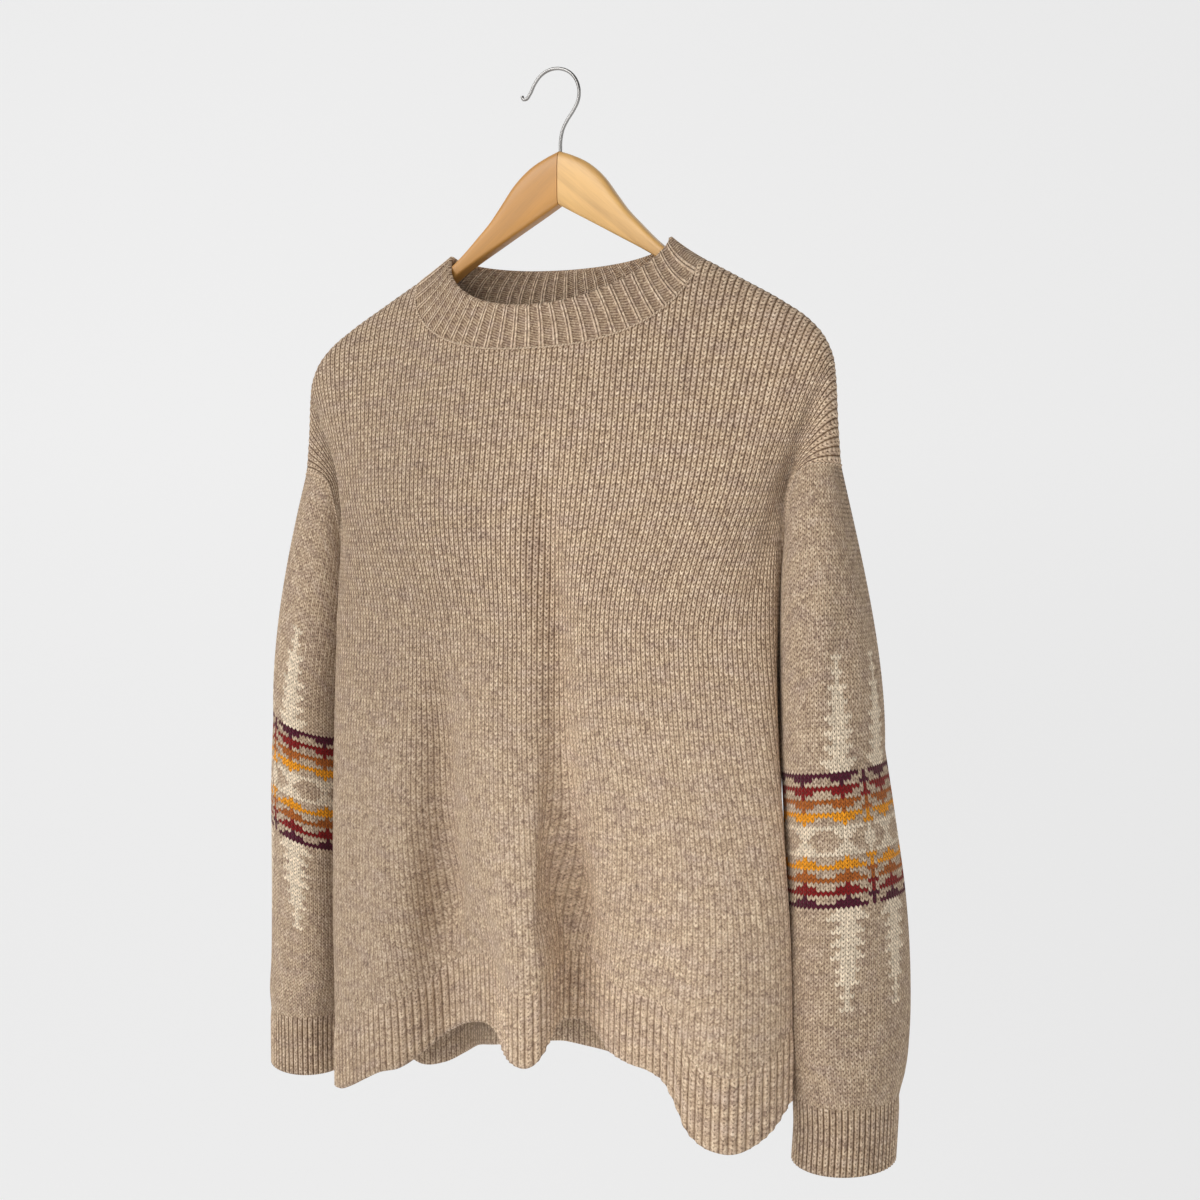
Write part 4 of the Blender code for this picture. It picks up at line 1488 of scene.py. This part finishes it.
@dataclass(frozen=True)
class BandChart:
    """The stepped band knitted round the sleeve, charted as half motifs.

    Each string is one course, read outward from the centre stitch, and a dot is the ground.
    The band is the same upside down about its last course. Motifs follow one another round
    the sleeve, but for one narrow cross. Spires stand on the motifs beside the cross.

    Attributes:
        motif: Courses of a stepped motif.
        cross: Courses of the cross.
        motif_gap: Stitches from one motif's centre to the next.
        cross_gap: Stitches from the cross to the motif beside it.
        cross_reach: Stitches on each side of its centre that the cross takes up.
        rungs: Half widths of a spire's wide courses, from the band to the tip.
        rung_courses: Courses from one wide course to the next.
    """

    motif: tuple[str, ...] = (
        "PPPPP", "PPP..", "P....", "MMMMM", "MMM..", "M....", "RRRRR", "RRR..", "R....",
        "GGGGG", "GGG..", "G....", "CCCCC", "CCC..", "CC...", "C....")
    cross: tuple[str, ...] = (
        "P.", "P.", "PP", "M.", "M.", "MM", "R.", "R.", "RR", "G.", "G.", "GG", "C.", "C.",
        "CC", "CC")
    motif_gap: int = 9
    cross_gap: int = 6
    cross_reach: int = 2
    rungs: tuple[int, ...] = (4, 3, 3, 3, 2, 2, 1, 1)
    rung_courses: int = 3

    @property
    def courses(self) -> int:
        """Courses of the whole band."""
        return 2 * len(self.motif) - 1

    @property
    def reach(self) -> int:
        """Courses of a spire."""
        return self.rung_courses * len(self.rungs)

    def spire(self, away: int, step: int) -> bool:
        """Whether a spire covers a stitch.

        Args:
            away: Stitches from the spire's stem.
            step: Courses from the band.

        Returns:
            Whether the stitch is cream.
        """
        if step >= self.reach:
            return False
        rung, part = divmod(step, self.rung_courses)
        wide = self.rungs[rung]
        return away <= (wide // 2, wide - 1, wide)[part]

    def letter(self, wale: int, course: int, wales: int) -> str:
        """The chart's letter at one stitch.

        Args:
            wale: Stitch round the sleeve, 0 on the cross.
            course: Course down from the top of the band; spires lie outside the band.
            wales: Stitches round the sleeve.

        Returns:
            The yarn's letter.
        """
        from_cross = min(wale, wales - wale)
        place = (wale - self.cross_gap) % self.motif_gap
        away = min(place, self.motif_gap - place)
        if 0 <= course < self.courses:
            row = min(course, self.courses - 1 - course)
            if from_cross < self.cross_reach:
                return self.cross[row][from_cross]
            return self.motif[row][away]
        step = -1 - course if course < 0 else course - self.courses
        return "C" if self.spire(abs(from_cross - self.cross_gap), step) else "."


@dataclass(frozen=True)
class SleeveShape:
    """Level rings of a sleeve, as on the right; turn 0 is its outer side, 90 its front.

    Attributes:
        out: How far out the sleeve hangs.
        fuller: How much its half width gains above the cuff.
        rings: Sizes of the rings, by height.
    """

    out: float
    fuller: float = 0.0
    rings: Table = Table(("z", "x", "y", "half_width", "half_depth", "turn_in"), (
        (-545, 235, 2, 35.5, 54, 0), (-600, 240, 5, 38, 54, 2), (-660, 244, 8, 40.5, 53.5, 6),
        (-720, 246, 7.5, 41.5, 52.5, 9.5), (-770, 246.5, 5, 41.5, 50, 9.5),
        (-796, 247.5, 2, 40, 46, 7), (-811, 248, 0, 37.5, 42, 6), (-830, 248.5, -1, 37, 40, 6),
        (-862, 247.5, -3, 37, 39, 6)))

    def ring(self, turn: Array, z: Array | float) -> Array:
        """Points of one ring, level or with its own height at each turn.

        Args:
            turn: Turns round the sleeve, in radians.
            z: Height of the ring.

        Returns:
            The points.
        """
        size = self.rings.sizes(z)
        half_width = size["half_width"] + self.fuller * smooth_step((z + 835.0) / 60.0)
        return np.stack([size["x"] + self.out + half_width * np.cos(turn)
                         - size["turn_in"] * np.sin(turn),
                         size["y"] - size["half_depth"] * np.sin(turn), z + 0 * turn], axis=-1)

    def even_turns(self, count: int, z: float, start: float) -> Array:
        """Turns of points spaced evenly round one ring, from a starting turn.

        Args:
            count: How many points.
            z: Height of the ring.
            start: Turn of the first point, in radians.

        Returns:
            Rising turns from start to start plus one whole turn, the last left out.
        """
        turn = np.linspace(start, start + 2 * math.pi, 2 * FINE - 1)
        length = travelled(self.ring(turn, z))
        return np.interp(np.arange(count) / count * length[-1], length, turn)


@dataclass
class Sleeve:
    """A knitted sleeve with its patterned band, from the armhole seam to the cuff.

    Attributes:
        cross_turn: Turn round the sleeve at which the band's cross lies.
        band_top: Height of the band's first course.
        tilt: How far the rings rise on the outer side, at the top.
        slant: Courses that a stitch's leg climbs over half a wale.
        crease_scale: Millimetres round the sleeve for each degree, for its creases.
        fade_rows: Rows over which creases fade below the armhole and above the cuff.
        head_pull: How strongly the head follows the straight way from the seam.
        head_swell: How far it swells in front and behind.
        tilt_share: Share of the level rings over which the tilt goes away.
        even_below: How far below the band's top the wales are evenly spaced.
        top_z: Height of the first level ring.
        low_z: Height of the cuff's seam.
    """

    side: Side
    shape: SleeveShape
    body: BodyShape
    finish: Material
    chart: BandChart
    cross_turn: float
    tilt: float
    band_top: float
    creases: tuple[Crease, ...]
    wales: int = 84
    points_per_wale: int = 4
    head_rows: int = 60
    ring_rows: int = 81
    inner_rows: int = 26
    cloth: float = 2.6
    ridge: float = 0.35
    slant: float = 0.62
    crease_scale: float = 0.82
    fade_rows: Pair = (12, 5)
    head_pull: float = 0.9
    head_swell: float = 26.0
    tilt_share: float = 0.4
    even_below: float = 50.0
    top_z: float = -545.0
    low_z: float = -811.0

    @property
    def course(self) -> float:
        """Height of one course."""
        return (self.top_z - self.low_z) / self.ring_rows

    def seam(self, turn: Array) -> Array:
        """Points of the armhole seam at the given turns, as on the right.

        Args:
            turn: Turns round the sleeve, in radians.

        Returns:
            The points.
        """
        whole = np.degrees(turn) % 360.0
        share = spread_share(np.minimum(whole, 360.0 - whole) / 18.0)
        front, back = (self.body.yoke(np.full_like(share, 1.0), share, face) for face in Face)
        return np.where((whole <= 180.0)[:, None], front, back)

    def surface(self, turn: Array) -> Array:
        """Outer points from the seam to the top of the cuff, as on the right.

        Args:
            turn: Turns round the sleeve, in radians.

        Returns:
            Grid of points, rows running down.
        """
        start = self.seam(turn)
        lean = self.tilt * np.cos(turn)
        end = self.shape.ring(turn, self.top_z + lean)
        outward = np.stack([np.cos(turn), -np.sin(turn), 0 * turn], axis=-1)
        fall = np.array([0.0, 0.0, -1.0]) * np.linalg.norm(end - start, axis=-1)[:, None]
        swell = outward * self.head_swell * np.abs(np.sin(turn))[:, None]
        leave = (end - start) * self.head_pull + swell
        rows = [hermite(start, end, leave, fall, at)
                for at in np.arange(self.head_rows) / self.head_rows]
        for share in np.linspace(0.0, 1.0, self.ring_rows + 1):
            z = self.top_z + (self.low_z - self.top_z) * share
            tilted = lean * smooth_step((1 - share) / self.tilt_share)
            rows.append(self.shape.ring(turn, z + tilted))
        points = np.array(rows)
        whole = np.broadcast_to(np.degrees(turn) % 360.0, points.shape[:2])
        height = sum(crease.height((whole + lap) * self.crease_scale, points[..., 2])
                     for crease in self.creases for lap in (-360.0, 0.0, 360.0))
        height = height * fade_ends(len(points), *self.fade_rows)
        return points - grid_normals(points, closed=True) * height[..., None]

    def build(self) -> Object:
        """Make the sleeve, each stitch of its band in its own yarn.

        Returns:
            The sleeve's object.
        """
        count = self.wales * self.points_per_wale
        turn = self.shape.even_turns(count, self.band_top - self.even_below,
                                     math.radians(self.cross_turn))
        turn = np.interp(np.arange(count) - 0.5 * self.points_per_wale,
                         np.arange(-count, 2 * count),
                         np.concatenate([turn - 2 * math.pi, turn, turn + 2 * math.pi]))
        outer = self.surface(turn)
        phase = (np.arange(count) % self.points_per_wale) / self.points_per_wale
        slide = (np.abs(phase - 0.5) * 2 * self.slant * self.course
                 * fade_ends(len(outer), 3, 3))
        down = travelled(outer)
        moved = np.empty_like(outer)
        for column in range(count):
            wanted = down[:, column] - slide[:, column]
            for axis in range(3):
                moved[:, column, axis] = np.interp(wanted, down[:, column],
                                                   outer[:, column, axis])
        normals = -grid_normals(outer, closed=True)
        inner_at = np.linspace(0, len(outer) - 1, self.inner_rows).round().astype(int)
        inner = (outer - normals * self.cloth)[inner_at]
        courses = slide / self.course - np.arange(len(outer), dtype=float)[:, None]
        return Wall("knit_sleeve_" + self.side.word, self.side.mirror(moved),
                    self.side.mirror(inner), self.side.mirror(normals), phase,
                    stitch_map(np.arange(count) / self.points_per_wale, courses), closed=True,
                    flip=self.side is Side.RIGHT, wales_round=float(self.wales),
                    yarn=self.colours(len(outer) - 1, count),
                    ).knit(Profile.WALE, self.ridge, self.finish)

    def colours(self, rows: int, count: int) -> Array:
        """Yarn of each face of the outer grid, with 0 alpha for the ground.

        Args:
            rows: Rows of faces.
            count: Faces round the sleeve.

        Returns:
            Linear colours, rows by faces by 4.
        """
        tints = {yarn.letter: yarn.rgba for yarn in Yarn}
        first = self.head_rows + round((self.top_z - self.band_top) / self.course)
        cells = np.zeros((rows, count, 4))
        for course in range(-self.chart.reach, self.chart.courses + self.chart.reach):
            for wale in range(self.wales):
                begin = wale * self.points_per_wale
                cells[first + course, begin:begin + self.points_per_wale] = tints[
                    self.chart.letter(wale, course, self.wales)]
        return cells


@dataclass
class Cuff:
    """The ribbed cuff of a sleeve."""

    side: Side
    shape: SleeveShape
    finish: Material
    top_z: float = -810.5
    low_z: float = -862.0
    even_z: float = -830.0
    ribs: int = 54
    points_per_rib: int = 6
    rows: int = 14
    courses: float = 16.0
    cloth: float = 2.8
    ridge: float = 1.0

    def build(self) -> Object:
        """Make the cuff.

        Returns:
            The cuff's object.
        """
        count = self.ribs * self.points_per_rib
        turn = self.shape.even_turns(count, self.even_z, 0.0)
        outer = np.array([self.shape.ring(turn, z)
                          for z in np.linspace(self.top_z, self.low_z, self.rows)])
        normals = -grid_normals(outer, closed=True)
        outer[0] -= normals[0] * TUCK
        ribs = np.arange(count) / self.points_per_rib
        courses = -np.linspace(0.0, self.courses, self.rows)[:, None]
        return Wall("rib_cuff_" + self.side.word, self.side.mirror(outer),
                    self.side.mirror(outer - normals * self.cloth),
                    self.side.mirror(normals) * rib_start(self.rows), ribs % 1.0,
                    stitch_map(ribs, courses), closed=True, flip=self.side is Side.RIGHT,
                    wales_round=float(self.ribs), rims=(0.0, 0.45),
                    ).knit(Profile.WALE, self.ridge, self.finish)


# ---- the hanger ------------------------------------------------------------------------
@dataclass
class Hanger:
    """The wooden hanger: two glued halves and a bent wire hook.

    Attributes:
        flats: Squareness of an arm's section below and above its middle; smaller is squarer.
        closer: How far the stations gather towards the end, as a share of the arm.
        hook: Points of the wire's middle in X and Z, from the tip to the foot.
    """

    line: HangerLine
    woods: dict[Side, Material]
    wire: Material
    stations: int = 96
    sides: int = 36
    halves_gap: float = 0.3
    flats: Pair = (0.34, 0.6)
    closer: float = 0.02
    arm: Table = Table(("x", "top", "bottom", "half_depth"), (
        (0.3, -66, -110, 6.6), (12, -70.5, -116.6, 6.8), (27, -78.5, -124.8, 7),
        (41, -91, -132.5, 7), (52, -105.5, -138.6, 7), (62, -118.5, -144.1, 7),
        (74, -131, -150.7, 7), (86, -143, -157.8, 7), (98, -153.2, -166.2, 7),
        (112, -161.4, -175, 6.9), (129, -170.8, -185, 6.8), (166, -191.8, -206.5, 6.6),
        (197, -209.8, -225, 6.4), (215, -222.8, -238.5, 6.2), (224, -231, -243.5, 5.4),
        (229, -236.5, -245, 3.4)))
    hook: tuple[Pair, ...] = (
        (-35.6, -17.0), (-34.6, -19.6), (-31.8, -19.8), (-28.2, -16.0), (-24.0, -8.6),
        (-18.6, -2.6), (-11.0, 1.1), (-1.5, 1.4), (7.6, -2.2), (14.0, -9.0), (17.0, -17.6),
        (16.2, -26.4), (11.8, -34.2), (6.2, -41.4), (2.2, -48.4), (0.4, -55.6), (0.0, -66.3),
        (0.0, -80.0))
    hook_points: int = 150
    wire_radius: float = 1.4

    def section(self, x: float) -> Array:
        """One closed section of an arm: flat faces with well-rounded edges.

        Args:
            x: Distance from the centre.

        Returns:
            The section's points.
        """
        top, bottom, depth = self.arm.sizes(x).values()
        turn = (np.arange(self.sides) + 0.5) * 2 * math.pi / self.sides
        flat = np.where(np.sin(turn) < 0, *self.flats)
        wide, tall = (np.sign(value) * np.abs(value) ** flat
                      for value in (np.cos(turn), np.sin(turn)))
        return np.stack([np.full(self.sides, x), self.line.forward(x) + depth * wide,
                         (top + bottom) / 2 + (top - bottom) / 2 * tall], axis=-1)

    def build_arm(self, side: Side) -> Object:
        """Make one half of the hanger.

        Args:
            side: Which half.

        Returns:
            The arm's object.
        """
        places = np.linspace(0.0, 1.0, self.stations)
        places = places + self.closer * np.sin(math.pi * places)
        xs = self.halves_gap + (self.line.reach - self.halves_gap) * places
        points = side.mirror(np.array([self.section(x) for x in xs])) * MM
        at = np.arange(self.stations * self.sides).reshape(self.stations, self.sides)
        after = np.roll(at, -1, axis=1)
        quads = np.stack([at[:-1], after[:-1], after[1:], at[1:]], axis=-1).reshape(-1, 4)
        faces = [*quads.tolist(), at[0][::-1].tolist(), at[-1].tolist()]
        if side is Side.RIGHT:
            faces = [face[::-1] for face in faces]
        name = "wood_arm_" + side.word
        mesh = bpy.data.meshes.new(name)
        mesh.from_pydata(points.reshape(-1, 3).tolist(), [], faces)
        mesh.shade_smooth()
        mesh.set_sharp_from_angle(angle=math.radians(60))
        mesh.materials.append(self.woods[side])
        return show(name, mesh)

    def build_hook(self) -> Object:
        """Make the wire hook.

        Returns:
            The hook's object.
        """
        route = np.array(self.hook)
        length = travelled(route)
        table = Table(("length", "x", "z"), tuple(zip(length, *route.T)))
        at = np.linspace(0.0, length[-1], self.hook_points)
        curve = bpy.data.curves.new("wire_hook", "CURVE")
        curve.dimensions = "3D"
        curve.bevel_depth = self.wire_radius * MM
        curve.bevel_resolution = 4
        curve.use_fill_caps = True
        spline = curve.splines.new("POLY")
        spline.points.add(len(at) - 1)
        for point, x, z in zip(spline.points, table.read("x", at), table.read("z", at)):
            point.co = (x * MM, 0.0, z * MM, 1.0)
        spline.use_smooth = True
        made = show("wire_hook_curve", curve)
        mesh = plain_mesh(made)
        bpy.data.objects.remove(made)
        mesh.materials.clear()
        mesh.materials.append(self.wire)
        return show("wire_hook", mesh)


# ---- the set ---------------------------------------------------------------------------
@dataclass(frozen=True)
class Lamp:
    """A soft square light.

    Attributes:
        name: Its name.
        at: Where it stands, in metres.
        power: Its power in watts.
        towards: The point it faces.
        size: Width of its face in metres.
    """

    name: str
    at: Triple
    power: float
    towards: Triple = (0.0, 0.0, -0.5)
    size: float = 1.5

    def build(self) -> None:
        """Put the light in the scene."""
        data = bpy.data.lights.new(self.name, "AREA")
        data.size = self.size
        data.energy = self.power
        obj = show(self.name, data)
        obj.location = self.at
        x, y, z = np.array(self.at) - np.array(self.towards)
        obj.rotation_euler = (math.atan2(math.hypot(x, y), z), 0.0,
                              math.atan2(y, x) + math.pi / 2)


@dataclass(frozen=True)
class Studio:
    """Plain pale floor and backdrop, soft lights and the photograph's camera, in metres."""

    camera_at: Triple = (0.5675, -1.1138, -0.3751)
    camera_turn: float = 25.51
    camera_tilt: float = -2.75
    lens: float = 45.0
    floor_z: float = -1.75
    floor_front: float = -8.0
    half_width: float = 9.0
    wall_y: float = 2.4
    wall_top: float = 6.0
    bend: float = 1.6
    tone: Colour = (0.30, 0.30, 0.30)
    glow: float = 0.65
    world: float = 0.14
    lamps: tuple[Lamp, ...] = (
        Lamp("key", (-1.2, -2.0, 1.2), 37.0), Lamp("fill", (0.3, -2.7, -0.3), 16.0),
        Lamp("side", (-1.75, -2.1, -0.75), 10.0),
        Lamp("rim", (2.2, -0.9, 0.2), 10.0, towards=(0.1, 0.0, -0.5)))

    def build(self) -> None:
        """Make the floor, the world, the lights and the camera."""
        self.build_floor()
        world = bpy.data.worlds.new("studio")
        world.use_nodes = True
        background = world.node_tree.nodes["Background"]
        background.inputs["Color"].default_value = (1.0, 1.0, 1.0, 1.0)
        background.inputs["Strength"].default_value = self.world
        bpy.context.scene.world = world
        for lamp in self.lamps:
            lamp.build()
        camera = bpy.data.cameras.new("camera")
        camera.lens = self.lens
        camera.sensor_width = 36.0
        camera.clip_end = 50.0
        obj = show("camera", camera)
        obj.location = self.camera_at
        obj.rotation_euler = (math.radians(90.0 + self.camera_tilt), 0.0,
                              math.radians(self.camera_turn))
        bpy.context.scene.camera = obj
        bpy.context.scene.view_settings.view_transform = "Standard"

    def build_floor(self) -> None:
        """Make the floor, which bends up into the backdrop."""
        material = MaterialSheet("pale_floor").finished({
            "Base Color": (*self.tone, 1.0), "Emission Color": (1.0, 1.0, 1.0, 1.0),
            "Emission Strength": self.glow, "Roughness": 0.9, "Specular IOR Level": 0.1})
        middle_y, middle_z = self.wall_y - self.bend, self.floor_z + self.bend
        profile = [(self.floor_front, self.floor_z)]
        profile += [(middle_y + self.bend * math.sin(turn), middle_z - self.bend * math.cos(turn))
                    for turn in np.linspace(0.0, math.pi / 2, 24)]
        profile.append((self.wall_y, self.wall_top))
        points = [(x, y, z) for y, z in profile for x in (-self.half_width, self.half_width)]
        faces = [(2 * i, 2 * i + 1, 2 * i + 3, 2 * i + 2) for i in range(len(profile) - 1)]
        mesh = bpy.data.meshes.new("floor")
        mesh.from_pydata(points, [], faces)
        mesh.shade_smooth()
        mesh.materials.append(material)
        floor = show("floor", mesh)
        floor.rotation_euler = (0.0, 0.0, math.radians(self.camera_turn))


# ---- the pieces together ---------------------------------------------------------------
BODY_CREASES = {  # by X and Z
    Face.FRONT: (
        Crease((20.0, -290.0), (48.0, -800.0), 15.0, -14.5),
        Crease((-26.0, -390.0), (-22.0, -760.0), 20.0, 5.0),
        Crease((-74.0, -445.0), (-79.0, -850.0), 18.0, -17.5, 3.0),
        Crease((-150.0, -560.0), (-170.0, -800.0), 20.0, -3.0),
        Crease((96.0, -500.0), (128.0, -790.0), 30.0, -2.5, 6.0),
        Crease((-190.0, -262.0), (-150.0, -420.0), 16.0, -2.2, 8.0),
        Crease((196.0, -262.0), (160.0, -450.0), 18.0, -2.8, -8.0)),
    Face.BACK: (
        Crease((-20.0, -380.0), (-70.0, -760.0), 24.0, -6.5),
        Crease((70.0, -430.0), (80.0, -780.0), 22.0, -5.5, -5.0),
        Crease((8.0, -470.0), (2.0, -760.0), 18.0, 3.0),
        Crease((150.0, -300.0), (168.0, -560.0), 18.0, -3.0, 6.0),
        Crease((-176.0, -280.0), (-150.0, -500.0), 20.0, -3.2, 6.0)),
}
SLEEVE_CREASES = {  # by distance round the sleeve and Z
    Side.LEFT: (
        Crease((70.0, -410.0), (58.0, -560.0), 10.0, -2.4),
        Crease((178.0, -440.0), (160.0, -640.0), 13.0, -2.8, 3.0),
        Crease((62.0, -690.0), (84.0, -800.0), 12.0, -1.8)),
    Side.RIGHT: (
        Crease((40.0, -400.0), (56.0, -545.0), 12.0, -2.6, 2.0),
        Crease((164.0, -430.0), (182.0, -610.0), 12.0, -2.5),
        Crease((30.0, -700.0), (52.0, -800.0), 13.0, -2.0)),
}


def settle(obj: Object, node: str | None = None) -> None:
    """Put a finished piece on the part's body.

    Args:
        obj: The piece.
        node: The CAD node that it replaces, if any.
    """
    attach(obj, "root")
    if node:
        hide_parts(node)
    LOG.info("%s: %d faces in place of %s", obj.name, len(obj.data.polygons),
             node or "no solid")


def main() -> None:
    """Build the set, the hanger and the sweater, and put each piece on the part's body."""
    logging.basicConfig(level=logging.INFO, format="%(name)s %(message)s")
    Studio().build()
    line = HangerLine()
    body = BodyShape()
    knit = WoolFinish("melange_knit", tone=1.02, painted_light=0.22, worn=0.50, wale_line=1.15).build()
    charted = WoolFinish("melange_sleeve_knit", charted=True, wale_line=0.35).build()
    ribbed = WoolFinish("melange_collar_rib", rib=True, tone=1.08).build()
    hem_rib = WoolFinish("melange_hem_rib", tone=1.13, painted_light=0.18, worn=0.28, wale_line=1.25,
                         course_line=0.12).build()
    cuff_rib = WoolFinish("melange_cuff_rib", tone=1.04, wale_line=1.25, course_line=0.12).build()
    woods = {Side.LEFT: WoodFinish("pine_left", 40.0, pale=(0.600, 0.285, 0.065),
                                   deep=(0.470, 0.230, 0.060)).build(),
             Side.RIGHT: WoodFinish("pine_right", -40.0).build()}
    hanger = Hanger(line, woods, WireFinish().build())
    for side in Side:
        settle(hanger.build_arm(side), "hanger_arm_" + side.word)
    settle(hanger.build_hook(), "hanger_hook")
    for face in Face:
        panel = BodyPanel(face, body, knit, BODY_CREASES[face]).build()
        settle(panel, face.word)
        hem = HemBand(face, body, hem_rib).build()
        settle(hem, "hem_" + face.word)
    band = NeckBand(body, ribbed)
    collar = band.build()
    settle(collar, "collar")
    yarn = YarnFinish().build()
    stitches = SeamStitches()
    settle(band.sew(stitches, yarn))
    for side in Side:
        route, away = body.armhole(side, 200)
        settle(stitches.build("stitches_armhole_" + side.word, route + away * 0.5, away, yarn))
    for side, shape, cross_turn, tilt, band_top in (
            (Side.LEFT, SleeveShape(9.5), 67.0, 15.5, -548.3),
            (Side.RIGHT, SleeveShape(-0.8, 2.5), 34.8, 4.0, -558.2)):
        sleeve = Sleeve(side, shape, body, charted, BandChart(), cross_turn, tilt, band_top,
                        SLEEVE_CREASES[side]).build()
        settle(sleeve, "sleeve_" + side.word)
        cuff = Cuff(side, shape, cuff_rib).build()
        settle(cuff, "cuff_" + side.word)


if __name__ == "__main__":
    main()
